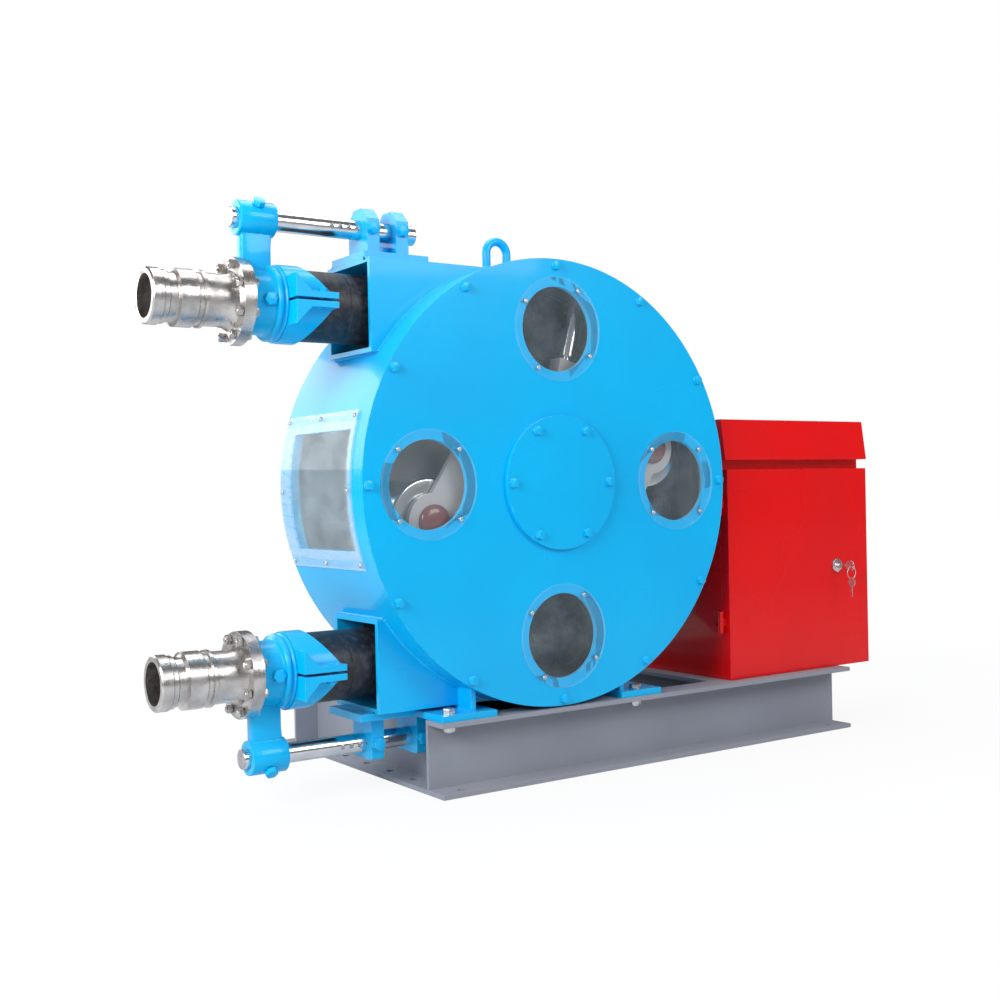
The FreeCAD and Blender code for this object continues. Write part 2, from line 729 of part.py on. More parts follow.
def rotor_plate(y):
    """A six-sided side plate with rounded tips that carry the roller axles."""
    tip = ROLLER_ORBIT + ROTOR_TIP / 3
    corner = ROTOR_TIP / 2
    waist = [vec(ROTOR_WAIST_HALF, y, ROTOR_WAIST), vec(-ROTOR_WAIST_HALF, y, ROTOR_WAIST)]
    points = [vec(tip, y, corner)] + waist + [vec(-tip, y, corner)]
    points += [vec(-p.x, y, -p.z) for p in points]
    body = outline(points, vec(0, ROTOR_PLATE_T, 0))
    tips = [rod_y(ROTOR_TIP, y, y + ROTOR_PLATE_T, side * ROLLER_ORBIT, 0) for side in (-1, 1)]
    plate = fuse_all([body] + tips)
    holes = [rod_y(AXLE_R, y, y + ROTOR_PLATE_T, side * ROLLER_ORBIT, 0) for side in (-1, 1)]
    holes.append(rod_y(SHAFT_R, y, y + ROTOR_PLATE_T))
    return turned(cut_all(plate, holes), ROTOR_ANGLE)


def axle_cap(centre, y, out):
    rim = Part.makeCylinder(CAP_R, CAP_H / 3)
    dome = Part.makeCone(CAP_R, CAP_R / 2, CAP_H * 2 / 3, vec(0, 0, CAP_H / 3))
    return placed(rim.fuse(dome), vec(centre.x, y, centre.z), out)


def rotor_body():
    shaft_end = GEARBOX_Y + GEARBOX_L - RUN
    export("main_shaft", rod_y(SHAFT_R, PLATE_FRONT_Y - COVER_T, shaft_end))
    export("rotor_hub", ring_y(HUB_R, SHAFT_R, PLATE_FRONT_Y + ROTOR_PLATE_T, PLATE_REAR_Y))
    export("rotor_plates", rotor_plate(PLATE_FRONT_Y), rotor_plate(PLATE_REAR_Y))
    rear_face = PLATE_REAR_Y + ROTOR_PLATE_T
    axles = [rod_y(AXLE_R, PLATE_FRONT_Y, rear_face, c.x, c.z) for c, name in roller_points()]
    export("roller_axles", *axles)
    caps = [axle_cap(c, PLATE_FRONT_Y, -AXIS_Y) for c, name in roller_points()]
    caps += [axle_cap(c, rear_face, AXIS_Y) for c, name in roller_points()]
    export("axle_caps", *caps)
    start = vec(0, GEAR_Y - WHEEL_W / 2, 0)
    wheel = toothed(WHEEL_R - TOOTH_H, WHEEL_R, WHEEL_TEETH, vec(0, WHEEL_W, 0), start)
    export("worm_wheel", wheel.cut(rod_y(SHAFT_R, start.y, start.y + WHEEL_W)))


def press_rollers():
    y0 = PLATE_FRONT_Y + ROTOR_PLATE_T + ROLLER_SIDE_GAP
    y1 = PLATE_REAR_Y - ROLLER_SIDE_GAP
    for centre, name in roller_points():
        export("press_roller_" + name, ring_y(ROLLER_R, AXLE_R + RUN, y0, y1, centre.x, centre.z))


def guide_rollers():
    """Rollers that hold the hose in line from both sides, each on a bracket of a side plate."""
    brackets = []
    count = 0
    for turn in (GUIDE_ANGLE, GUIDE_ANGLE + 180):
        for side in (-1, 1):
            y = HOSE_Y + side * (HOSE_OD / 2 + GUIDE_GAP + GUIDE_R)
            plate_face = HOSE_Y + side * ROTOR_HALF
            inner_face = plate_face - side * BRACKET_DEPTH
            y0 = min(plate_face, inner_face)
            half = BRACKET_WIDTH / 2
            block = box(BRACKET_INNER, BRACKET_OUTER, y0, y0 + BRACKET_DEPTH, -half, half)
            journal_start = (BRACKET_INNER + BRACKET_OUTER) / 2
            bore = rod_x(GUIDE_JOURNAL_R + RUN, journal_start, BRACKET_OUTER, y, 0)
            brackets.append(turned(block.cut(bore), ROTOR_ANGLE + turn))
            journal = rod_x(GUIDE_JOURNAL_R, journal_start + JOURNAL_GAP, GUIDE_INNER, y, 0)
            roller = rod_x(GUIDE_R, GUIDE_INNER, GUIDE_INNER + GUIDE_LENGTH, y, 0)
            count += 1
            export("guide_roller_%d" % count, turned(journal.fuse(roller), ROTOR_ANGLE + turn))
    export("guide_brackets", *brackets)


# ---- Drive ------------------------------------------------------------------------------------


def bearing_housing():
    back = BACK_Y + BACK_PLATE_T
    spigot = rod_y(SPIGOT_R, BACK_Y, back)
    flange = rod_y(HOUSING_FLANGE_R, back, back + BACK_PLATE_T)
    barrel = rod_y(HOUSING_R, back + BACK_PLATE_T, back + HOUSING_L)
    body = fuse_all([spigot, flange, barrel]).cut(rod_y(BEARING_R, BACK_Y, back + HOUSING_L))
    export("bearing_housing", body)
    starts = (BACK_Y + BEARING_INSET, back + HOUSING_L - BEARING_W - BEARING_INSET)
    export("shaft_bearings", *[ring_y(BEARING_R, SHAFT_R + RUN, y, y + BEARING_W) for y in starts])


def gearbox():
    end = GEARBOX_Y + GEARBOX_L
    drum = rod_y(GEARBOX_R, GEARBOX_Y, end)
    tunnel = rod_x(TUNNEL_R, -TUNNEL_HALF, TUNNEL_HALF, GEAR_Y, WORM_Z)
    face = rod_x(MOTOR_R, TUNNEL_HALF, MOTOR_X, GEAR_Y, WORM_Z)
    tools = [
        rod_y(GEARBOX_R - GEARBOX_WALL, GEARBOX_Y + GEARBOX_WALL, end),
        rod_x(TUNNEL_R - TUNNEL_WALL, GEARBOX_WALL - TUNNEL_HALF, MOTOR_X, GEAR_Y, WORM_Z),
        rod_y(SHAFT_R + RUN, GEARBOX_Y, GEARBOX_Y + GEARBOX_WALL),
        rod_x(MOTOR_SHAFT_R + RUN, -TUNNEL_HALF, GEARBOX_WALL - TUNNEL_HALF, GEAR_Y, WORM_Z),
    ]
    lid = rod_y(GEARBOX_R, end, end + GEARBOX_WALL)
    export("gearbox_housing", cut_all(fuse_all([drum, tunnel, face]), tools), lid)


def motor():
    end = MOTOR_X + MOTOR_L
    start = vec(MOTOR_X + SHIELD_L, GEAR_Y, WORM_Z)
    fins = toothed(MOTOR_R - FIN_H, MOTOR_R, FINS, vec(MOTOR_L - 2 * SHIELD_L, 0, 0), start)
    shields = [rod_x(MOTOR_R, x, x + SHIELD_L, GEAR_Y, WORM_Z) for x in (MOTOR_X, end - SHIELD_L)]
    bore = rod_x(MOTOR_SHAFT_R + RUN, MOTOR_X, end, GEAR_Y, WORM_Z)
    half = TERMINAL_L / 2
    middle = (MOTOR_X + end) / 2
    top = WORM_Z + MOTOR_R + TERMINAL_H
    terminal = box(middle - half, middle + half, GEAR_Y - half, GEAR_Y + half, WORM_Z, top)
    terminal = terminal.cut(rod_x(MOTOR_R, MOTOR_X, end, GEAR_Y, WORM_Z))
    export("motor_body", fuse_all([fins] + shields).cut(bore), terminal)
    cowl = ring_x(MOTOR_R, MOTOR_R - FAN_COVER_T, end, end + FAN_COVER_L, GEAR_Y, WORM_Z)
    grille = rod_x(MOTOR_R - FAN_COVER_T, end + FAN_COVER_L - FAN_COVER_T, end + FAN_COVER_L, GEAR_Y, WORM_Z)
    export("motor_fan_cover", fuse_all([cowl, cut_all(grille, grille_slots(end + FAN_COVER_L))]))


def grille_slots(x):
    """Arc slots in the fan cover's end, as rings crossed by spokes."""
    slots = []
    spoke = FAN_COVER_T * 2
    low = WORM_Z - MOTOR_R
    inner = x - FAN_COVER_T
    bars = [
        box(inner, x, GEAR_Y - MOTOR_R, GEAR_Y + MOTOR_R, WORM_Z - spoke, WORM_Z + spoke),
        box(inner, x, GEAR_Y - spoke, GEAR_Y + spoke, low, low + 2 * MOTOR_R),
    ]
    for k in range(GRILLE_RINGS):
        radius = GRILLE_FIRST + GRILLE_PITCH * k
        slots.append(cut_all(ring_x(radius, radius - GRILLE_SLOT, inner, x, GEAR_Y, WORM_Z), bars))
    return slots


def worm_and_fan():
    end = MOTOR_X + MOTOR_L
    fan_x = end + FAN_COVER_L / 3
    fan_end = fan_x + FAN_COVER_L / 3
    shaft = rod_x(MOTOR_SHAFT_R, -TUNNEL_HALF, fan_end, GEAR_Y, WORM_Z)
    worm = rod_x(WORM_R, -WORM_L / 2, WORM_L / 2, GEAR_Y, WORM_Z)
    export("worm_shaft", fuse_all([shaft, worm]))
    hub = ring_x(2 * MOTOR_SHAFT_R, MOTOR_SHAFT_R, fan_x, fan_end, GEAR_Y, WORM_Z)
    half = FAN_BLADE_T / 2
    root = GEAR_Y + 2 * MOTOR_SHAFT_R - FAN_BLADE_T
    blade = box(fan_x, fan_end, root, GEAR_Y + FAN_R, WORM_Z - half, WORM_Z + half)
    blades = []
    for k in range(FAN_BLADES):
        copy = blade.copy()
        copy.rotate(vec(fan_x, GEAR_Y, WORM_Z), AXIS_X, 360 / FAN_BLADES * k)
        blades.append(copy)
    export("motor_fan", fuse_all([hub] + blades))


# ---- Hose-end carriages -----------------------------------------------------------------------


def tension_rod():
    rod = rod_x(ROD_R, BODY_X - BODY_L - ROD_STUB - FLANGE_T, -ROD_END, HOSE_Y, ROD_Z)
    holes = [
        rod_y(INDEX_D / 2, HOSE_Y - ROD_R, HOSE_Y + ROD_R, -INDEX_FIRST - INDEX_PITCH * k, ROD_Z)
        for k in range(INDEX_HOLES)
    ]
    return cut_all(rod, holes)


def coupling():
    """A casting with a body round the sleeve, a collar at the hose and an arm up to the rod's boss."""
    left = BODY_X - BODY_L
    body = rod_x(BODY_R, left, BODY_X, HOSE_Y, HOSE_ORBIT)
    collar = rod_x(COLLAR_R, BODY_X, COLLAR_X, HOSE_Y, HOSE_ORBIT)
    boss_left = left - ROD_STUB
    boss = rod_x(BOSS_R, boss_left, boss_left + BOSS_L, HOSE_Y, ROD_Z)
    y0 = HOSE_Y - ARM_T / 2
    foot_z = HOSE_ORBIT + BODY_R - ARM_T / 2
    flange_clear = left + FLANGE_T
    right = boss_left + BOSS_L - ROD_STUB
    shape = [(boss_left + ROD_STUB, ROD_Z), (right, ROD_Z), (right, foot_z), (flange_clear, foot_z),
             (flange_clear, HOSE_ORBIT + FLANGE_R + FLANGE_T)]
    arm = outline([vec(x, y0, z) for x, z in shape], vec(0, ARM_T, 0))
    bores = [rod_x(SLEEVE_R, left, COLLAR_X, HOSE_Y, HOSE_ORBIT),
             rod_x(ROD_R, boss_left, boss_left + BOSS_L, HOSE_Y, ROD_Z)]
    drill = Part.makeCylinder(LOCK_BOLT_D / 2, SET_GRIP, vec(0, 0, -SET_GRIP))
    bores += [placed(drill, at, out) for at, out in set_screw_seats()]
    return cut_all(fuse_all([body, collar, boss, arm]), bores)


def set_screw_seats():
    """Where the set screws of the body and of the boss stand, and which way they point."""
    slant = vec(0, -1, 1).normalize()
    boss_middle = BODY_X - BODY_L - ROD_STUB + BOSS_L / 2
    on_body = (vec(BODY_X - SET_TO_COLLAR, HOSE_Y - BODY_R, HOSE_ORBIT), -AXIS_Y)
    on_boss = (vec(boss_middle, HOSE_Y, ROD_Z) + slant * BOSS_R, slant)
    return [on_body, on_boss]


def clamp_half():
    """The upper half of the hose clamp: a shell with a slanting end and a bolting ear on each side."""
    r_in = HOSE_OD / 2 + CLAMP_FIT
    r_out = HOSE_OD / 2 + CLAMP_WALL
    z0 = HOSE_ORBIT + CLAMP_SPLIT
    shell = rod_x(r_out, COLLAR_X, CLAMP_END, HOSE_Y, HOSE_ORBIT)
    ear_top = z0 + EAR_T
    ear_x = CLAMP_END - EAR_L
    back = ear_x - 2 * EAR_RISE
    ridge = ear_top + EAR_RISE
    side = [(back, z0), (CLAMP_END, z0), (CLAMP_END, ear_top), (ear_x, ear_top)]
    side += [(ear_x - EAR_RISE, ridge), (ear_x - EAR_RISE - EAR_T, ridge)]
    ears = outline([vec(x, HOSE_Y - EAR_OUT, z) for x, z in side], vec(0, 2 * EAR_OUT, 0))
    roof = HOSE_ORBIT + r_out
    slant = [(COLLAR_X, z0), (CLAMP_END, z0), (CLAMP_END, ear_top)]
    slant += [(CLAMP_END - CLAMP_TIP_L, roof), (COLLAR_X, roof)]
    keep = outline([vec(x, HOSE_Y - EAR_OUT, z) for x, z in slant], vec(0, 2 * EAR_OUT, 0))
    tools = [rod_x(r_in, COLLAR_X, CLAMP_END, HOSE_Y, HOSE_ORBIT)]
    tools += [rod_z(FLANGE_BOLT_D / 2, z0, ear_top, x, y) for x, y in clamp_bolt_places()]
    return cut_all(fuse_all([shell, ears]).common(keep), tools)


def clamp_bolt_places():
    reach = (HOSE_OD / 2 + CLAMP_WALL + EAR_OUT) / 2
    return [(CLAMP_END - EAR_L / 2, HOSE_Y + side * reach) for side in (-1, 1)]


def clamp():
    upper = clamp_half()
    lower = upper.mirror(vec(0, 0, HOSE_ORBIT), AXIS_Z)
    return Part.makeCompound([upper, lower])


def painted_bolts():
    """Clamp bolts with nuts, the coupling's set screw and the boss's lock screw."""
    reach = CLAMP_SPLIT + EAR_T
    pieces = []
    for x, y in clamp_bolt_places():
        nut_h = NUT_HIGH * FLANGE_BOLT_D
        pieces.append(hex_bolt(vec(x, y, HOSE_ORBIT + reach), AXIS_Z, FLANGE_BOLT_D, 2 * reach + nut_h))
        pieces.append(hex_nut(vec(x, y, HOSE_ORBIT - reach - nut_h), AXIS_Z, FLANGE_BOLT_D))
    pieces += [hex_bolt(at, out, LOCK_BOLT_D, SET_GRIP) for at, out in set_screw_seats()]
    return Part.makeCompound(pieces)


def fittings():
    """The stainless sleeve that plugs into the hose, and the flanged cam-lever adapter bolted to it."""
    left = BODY_X - BODY_L
    sleeve = rod_x(SLEEVE_R, left, COLLAR_X + SLEEVE_IN_HOSE, HOSE_Y, HOSE_ORBIT)
    sleeve = fuse_all([sleeve, rod_x(FLANGE_R, JOINT_X, left, HOSE_Y, HOSE_ORBIT)])
    adapter = rod_x(FLANGE_R, JOINT_X - FLANGE_T, JOINT_X, HOSE_Y, HOSE_ORBIT)
    start = JOINT_X - FLANGE_T
    steps = [
        (ADAPTER_NECK_L, ADAPTER_NECK_R),
        (ADAPTER_LIP_L, ADAPTER_RING_R),
        (ADAPTER_BELT_L, ADAPTER_NECK_R),
        (ADAPTER_RING_L, ADAPTER_RING_R),
        (ADAPTER_GROOVE_L, ADAPTER_TUBE_R),
        (ADAPTER_STEP_L, ADAPTER_STEP_R),
        (ADAPTER_END_L, ADAPTER_END_R),
    ]
    rings = []
    end = start
    for length, radius in steps:
        rings.append(rod_x(radius, end - length, end, HOSE_Y, HOSE_ORBIT))
        end -= length
    bore = rod_x(SLEEVE_R - SLEEVE_WALL, end, COLLAR_X + SLEEVE_IN_HOSE, HOSE_Y, HOSE_ORBIT)
    holes = [rod_x(FLANGE_BOLT_D / 2, start, left, y, z) for y, z in flange_bolt_places()]
    adapter = cut_all(fuse_all([adapter] + rings), [bore] + holes)
    return Part.makeCompound([adapter, cut_all(sleeve, [bore] + holes)])


def flange_bolt_places():
    places = []
    for k in range(FLANGE_BOLTS):
        a = 2 * math.pi * (k + 0.5) / FLANGE_BOLTS
        places.append((HOSE_Y + FLANGE_BOLT_R * math.cos(a), HOSE_ORBIT + FLANGE_BOLT_R * math.sin(a)))
    return places


def flange_bolts():
    start = JOINT_X - FLANGE_T
    left = BODY_X - BODY_L
    pieces = []
    for y, z in flange_bolt_places():
        nut_h = NUT_HIGH * FLANGE_BOLT_D
        pieces.append(hex_bolt(vec(left, y, z), AXIS_X, FLANGE_BOLT_D, 2 * FLANGE_T + nut_h + THREAD_OUT))
        pieces.append(hex_nut(vec(start - nut_h, y, z), AXIS_X, FLANGE_BOLT_D))
    return Part.makeCompound(pieces)


def carriages():
    builders = [("tension_rod", tension_rod), ("coupling", coupling), ("hose_clamp", clamp),
                ("fittings", fittings), ("flange_bolts", flange_bolts), ("clamp_bolts", painted_bolts)]
    for name, build in builders:
        shape = build()
        export("outlet_" + name, *shape.Solids)
        export("inlet_" + name, *mirrored(shape).Solids)


def block(x, z0, rise=BLOCK_TOP, cut=BLOCK_CHAMFER):
    """One bored block that the tension rod slides in, with cut corners and a hole for its lock bolt."""
    top = ROD_Z + rise
    shape = [(-BLOCK_HALF, z0), (BLOCK_HALF, z0), (BLOCK_HALF, top - cut), (BLOCK_HALF - cut, top),
             (cut - BLOCK_HALF, top), (-BLOCK_HALF, top - cut)]
    body = outline([vec(x - BLOCK_T / 2, HOSE_Y + y, z) for y, z in shape], vec(BLOCK_T, 0, 0))
    bore = rod_x(ROD_R + RUN, x - BLOCK_T / 2, x + BLOCK_T / 2, HOSE_Y, ROD_Z)
    return cut_all(body, [bore, rod_y(LOCK_BOLT_D / 2, HOSE_Y - BLOCK_HALF, HOSE_Y, x, ROD_Z)])


def lock_bolt(x):
    grip = BLOCK_HALF - ROD_R - LOCK_GAP
    return hex_bolt(vec(x, HOSE_Y - BLOCK_HALF, ROD_Z), -AXIS_Y, LOCK_BOLT_D, grip)


def rod_brackets():
    top = PORT_TOP + BRACKET_PLATE_T
    y0 = HOSE_Y - BRACKET_PLATE_HALF
    y1 = HOSE_Y + BRACKET_PLATE_HALF
    end = -BLOCK_B + BLOCK_T * 1.5
    plate = box(-PORT_REACH, end, y0, y1, PORT_TOP, top)
    rib_x = -BLOCK_A + BLOCK_T / 2
    rib_top = ROD_Z - ROD_R - LEG_T
    rib = box(rib_x, -BLOCK_B - BLOCK_T / 2, HOSE_Y - LEG_T, HOSE_Y + LEG_T, top, rib_top)
    export("outlet_rod_bracket", fuse_all([plate, rib, block(-BLOCK_A, top), block(-BLOCK_B, top)]))
    low_end = LEFT_FOOT[0] - LEG_T
    low_plate = box(-PORT_REACH - BLOCK_T, low_end, y0, y1, PORT_TOP, top)
    near = fuse_all([low_plate, block(-LOW_BLOCK_A, top, LOW_BLOCK_TOP, LOW_BLOCK_CHAMFER)])
    far = block(-LOW_BLOCK_B, -BASE_TOP, LOW_BLOCK_TOP, LOW_BLOCK_CHAMFER)
    export("inlet_rod_bracket", mirrored(near), mirrored(far))
    locks = [lock_bolt(-BLOCK_A), lock_bolt(-BLOCK_B)]
    locks += [mirrored(lock_bolt(-LOW_BLOCK_A)), mirrored(lock_bolt(-LOW_BLOCK_B))]
    export("bracket_lock_bolts", *locks)


# ---- Control cabinet --------------------------------------------------------------------------


def hinge_line():
    return CABINET_X - HINGE_OUT, CABINET_FRONT + DOOR_D - HINGE_BACK


def fixed_knuckles():
    """Two knuckles and a pin for each hinge, joined to the cabinet's side."""
    x, y = hinge_line()
    body_front = CABINET_FRONT + DOOR_D + DOOR_GAP
    pieces = []
    for height in HINGE_HEIGHTS:
        z = BASE_TOP + height
        third = HINGE_L / 3
        pieces.append(rod_z(HINGE_PIN_R, z, z + HINGE_L, x, y))
        for low in (z, z + 2 * third):
            pieces.append(rod_z(HINGE_R, low, low + third, x, y))
            pieces.append(box(x, CABINET_X - DOOR_GAP, y, body_front, low, low + third))
            pieces.append(box(x, CABINET_X, body_front, body_front + 3 * HINGE_R, low, low + third))
    return pieces


def cabinet():
    x0 = CABINET_X
    x1 = x0 + CABINET_W
    y0 = CABINET_FRONT + DOOR_D + DOOR_GAP
    y1 = CABINET_FRONT + CABINET_DEPTH
    t = SHEET_T
    hollow = box(x0 + t, x1 - t, y0, y1 - t, BASE_TOP + t, CABINET_TOP - t)
    shell = box(x0, x1, y0, y1, BASE_TOP, CABINET_TOP).cut(hollow)
    export("cabinet_body", fuse_all([shell] + fixed_knuckles()))
    export("cabinet_panel", *panel_pieces(x0, x1, y1 - t))
    neck_top = CABINET_TOP + NECK_H
    neck = box(x0 + t, x1 - t, y0, y1 - t, CABINET_TOP, neck_top)
    inside = box(x0 + 2 * t, x1 - 2 * t, y0 + t, y1 - 2 * t, CABINET_TOP, neck_top + t)
    export("cabinet_hood", fuse_all([neck, hood_shell(neck_top, y1)]).cut(inside))


def hood_shell(z0, back):
    """The rain hood: a shallow hollow lid with a leaning front, wider than the cabinet."""
    front = CABINET_FRONT - HOOD_OVER
    rear = back + HOOD_OVER
    x0 = CABINET_X - HOOD_SHIFT
    t = SHEET_T
    top = z0 + HOOD_H
    lean = front + HOOD_SLOPE
    shape = [(front, z0), (lean, top), (rear, top), (rear, z0)]
    solid = outline([vec(x0, y, z) for y, z in shape], vec(HOOD_W, 0, 0))
    hollow = [(front + t, z0 + t), (lean + t, top - t), (rear - t, top - t), (rear - t, z0 + t)]
    inside = outline([vec(x0 + t, y, z) for y, z in hollow], vec(HOOD_W - 2 * t, 0, 0))
    return solid.cut(inside)


def panel_pieces(x0, x1, back):
    """Mounting plate on stand-offs, with an inverter, two contactors and a terminal rail."""
    face = back - PANEL_GAP - SHEET_T
    left = x0 + PANEL_EDGE
    right = x1 - PANEL_EDGE
    low = BASE_TOP + PANEL_EDGE
    high = CABINET_TOP - PANEL_EDGE
    plate = box(left, right, face, face + SHEET_T, low, high)
    columns = (left + POST_IN, right - POST_IN)
    rows = (low + POST_IN, high - POST_IN)
    posts = [rod_y(POST_R, back - PANEL_GAP, back, x, z) for x in columns for z in rows]
    gear_left = left + GEAR_EDGE
    gear_top = high - GEAR_EDGE / 2
    gear_right = gear_left + INVERTER_W
    inverter = box(gear_left, gear_right, face - INVERTER_D, face, gear_top - INVERTER_H, gear_top)
    first = gear_right + PANEL_EDGE
    contactors = [
        box(x, x + CONTACTOR_W, face - CONTACTOR_D, face, gear_top - CONTACTOR_H, gear_top)
        for x in (first, first + CONTACTOR_PITCH)
    ]
    rail_low = low + 2 * POST_IN
    rail = box(gear_left, right - GEAR_EDGE, face - RAIL_SIZE, face, rail_low, rail_low + RAIL_SIZE)
    return [plate] + posts + [inverter] + contactors + [rail]


def door():
    x0 = CABINET_X
    x1 = x0 + CABINET_W
    y0 = CABINET_FRONT
    y1 = y0 + DOOR_D
    t = SHEET_T
    z0 = BASE_TOP + DOOR_GAP
    z1 = CABINET_TOP - DOOR_GAP
    pan = box(x0, x1, y0, y1, z0, z1).cut(box(x0 + t, x1 - t, y0 + t, y1, z0 + t, z1 - t))
    x, y = hinge_line()
    pieces = [pan]
    pins = []
    for height in HINGE_HEIGHTS:
        low = BASE_TOP + height + HINGE_L / 3 + RUN
        high = BASE_TOP + height + 2 * HINGE_L / 3 - RUN
        pieces.append(rod_z(HINGE_R, low, high, x, y))
        pieces.append(box(x, x0, y - HINGE_R, y - DOOR_GAP, low, high))
        pins.append(rod_z(HINGE_PIN_R + RUN, low, high, x, y))
    lock_at = lock_point()
    pins.append(rod_y(BARREL_R, y0, y0 + t, lock_at.x, lock_at.z))
    export("cabinet_door", cut_all(fuse_all(pieces), pins))


def lock_point():
    return vec(CABINET_X + LOCK_X, CABINET_FRONT, BASE_TOP + LOCK_Z)


def lock():
    """A barrel lock in a hexagonal rose, with its key, the key ring and a spare key hanging from it."""
    at = lock_point()
    rose = placed(hexagon(2 * LOCK_R, LOCK_ROSE_T), at, -AXIS_Y)
    barrel = rod_y(BARREL_R, at.y - BARREL_OUT, at.y + BARREL_IN, at.x, at.z)
    keyway = rod_y(KEY_R + RUN, at.y - BARREL_OUT, at.y + KEY_IN + DOOR_GAP, at.x, at.z)
    export("door_lock", fuse_all([rose, barrel]).cut(keyway))
    stem = rod_y(KEY_R, at.y - KEY_OUT, at.y + KEY_IN, at.x, at.z)
    bow_y = at.y - KEY_OUT - KEY_BOW_R + KEY_LAP
    eye_y = bow_y - KEY_EYE_R + KEY_EYE_WALL
    bow = flat_disc(KEY_BOW_R, KEY_T, at.x, bow_y, at.z)
    eye = flat_disc(KEY_EYE_R, KEY_T, at.x, eye_y, at.z)
    ring_z = at.z - KEY_RING_R - KEY_LAP
    ring = Part.makeTorus(KEY_RING_R, KEY_WIRE_R, vec(at.x, eye_y, ring_z), AXIS_Y)
    spare_eye_z = ring_z - KEY_RING_R - KEY_WIRE_R
    spare_z = spare_eye_z - SPARE_BOW_R + SPARE_EYE_R + KEY_EYE_WALL
    blade_top = spare_z - SPARE_BOW_R + KEY_LAP
    half = SPARE_T / 2
    blade_y = eye_y - SPARE_BLADE_W / 2
    blade_low = blade_top - SPARE_BLADE_L
    blade = box(at.x - half, at.x + half, blade_y, blade_y + SPARE_BLADE_W, blade_low, blade_top)
    spare = fuse_all([flat_disc(SPARE_BOW_R, SPARE_T, at.x, eye_y, spare_z), blade])
    spare = spare.cut(flat_disc(SPARE_EYE_R, SPARE_T, at.x, eye_y, spare_eye_z))
    export("lock_key", fuse_all([stem, bow]).cut(eye), ring, spare)


def flat_disc(radius, thick, x, y, z):
    return rod_x(radius, x - thick / 2, x + thick / 2, y, z)


os.makedirs("parts", exist_ok=True)
long_channels()
end_members()
cross_members()
casing()
ports()
feet()
front_cover()
windows()
lifting_eye()
hose()
rotor_body()
press_rollers()
guide_rollers()
bearing_housing()
gearbox()
motor()
worm_and_fan()
carriages()
rod_brackets()
cabinet()
door()
lock()
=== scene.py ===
# %% [markdown]
# # A peristaltic pump, dressed for the studio
# The pump squeezes slurry through a thick rubber hose.  A rotor inside a drum casing rolls two
# polished rollers over the hose, and the hose's ends come out of two ports on the left, where
# stainless adapters are clamped to them.  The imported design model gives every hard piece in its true
# place, so this file only adds finishes, and swaps the pieces whose real shape has more detail than
# the design model needs: rubber, bolts, turned fittings, welds and keys.

import bpy
import bmesh
import json
import math
import random
from mathutils import Matrix, Vector


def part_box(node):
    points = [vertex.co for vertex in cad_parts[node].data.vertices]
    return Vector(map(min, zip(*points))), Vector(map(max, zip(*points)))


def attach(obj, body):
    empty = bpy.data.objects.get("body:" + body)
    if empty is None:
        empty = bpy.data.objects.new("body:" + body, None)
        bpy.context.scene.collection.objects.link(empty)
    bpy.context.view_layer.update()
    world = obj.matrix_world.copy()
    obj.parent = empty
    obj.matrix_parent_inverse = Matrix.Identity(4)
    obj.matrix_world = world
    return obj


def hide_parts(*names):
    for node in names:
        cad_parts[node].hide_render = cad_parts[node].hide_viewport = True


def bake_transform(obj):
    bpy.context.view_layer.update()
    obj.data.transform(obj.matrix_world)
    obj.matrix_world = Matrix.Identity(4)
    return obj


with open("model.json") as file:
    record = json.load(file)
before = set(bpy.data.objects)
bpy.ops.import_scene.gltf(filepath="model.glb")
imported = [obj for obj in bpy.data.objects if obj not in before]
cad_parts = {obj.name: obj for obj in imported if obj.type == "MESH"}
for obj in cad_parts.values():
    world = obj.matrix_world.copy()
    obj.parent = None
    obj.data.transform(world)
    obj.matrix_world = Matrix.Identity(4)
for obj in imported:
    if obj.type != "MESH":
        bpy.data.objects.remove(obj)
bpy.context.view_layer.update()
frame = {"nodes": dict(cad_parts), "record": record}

# %% [markdown]
# ## Measures that the new pieces share
# A new piece sits where the design model says, so the axes are read from the boxes of its nodes: the
# shaft's line, the hose's plane and the two port levels.  Reading them keeps the looks in step with
# the design if a size changes later.

# %% Axes and levels
def middle(node):
    low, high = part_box(node)
    return (low + high) / 2


SHAFT = middle("main_shaft")
HOSE_Y = middle("press_roller_a").y
PORTS = {"outlet": middle("outlet_fittings").z, "inlet": middle("inlet_fittings").z}
HOSE_ORBIT = PORTS["outlet"] - SHAFT.z
FRONT_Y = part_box("front_cover")[0].y
DRUM_R = (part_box("front_cover")[1].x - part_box("front_cover")[0].x) / 2
WALL_AND_GAP = 0.019
INSIDE_R = DRUM_R - WALL_AND_GAP
print("shaft", [round(v, 4) for v in SHAFT], "hose orbit", round(HOSE_ORBIT, 4))

# %% [markdown]
# ## Camera
# The view is from the front left, level with the middle of the pump, through a moderately long lens.
# The camera's matrix is built from its heading, tilt and roll, as a surveyor would state them.

# %% Camera
CAMERA_AT = Vector((-2.0267, -2.6675, 0.6499))
HEADING, TILT, ROLL = (math.radians(a) for a in (34.27, -0.464, -1.18))
LENS_MM = 45.8

ahead = Vector((math.sin(HEADING), math.cos(HEADING), 0))
forward = ahead * math.cos(TILT) + Vector((0, 0, math.sin(TILT)))
level_right = Vector((math.cos(HEADING), -math.sin(HEADING), 0))
level_up = level_right.cross(forward)
right = level_right * math.cos(ROLL) + level_up * math.sin(ROLL)
up = level_up * math.cos(ROLL) - level_right * math.sin(ROLL)

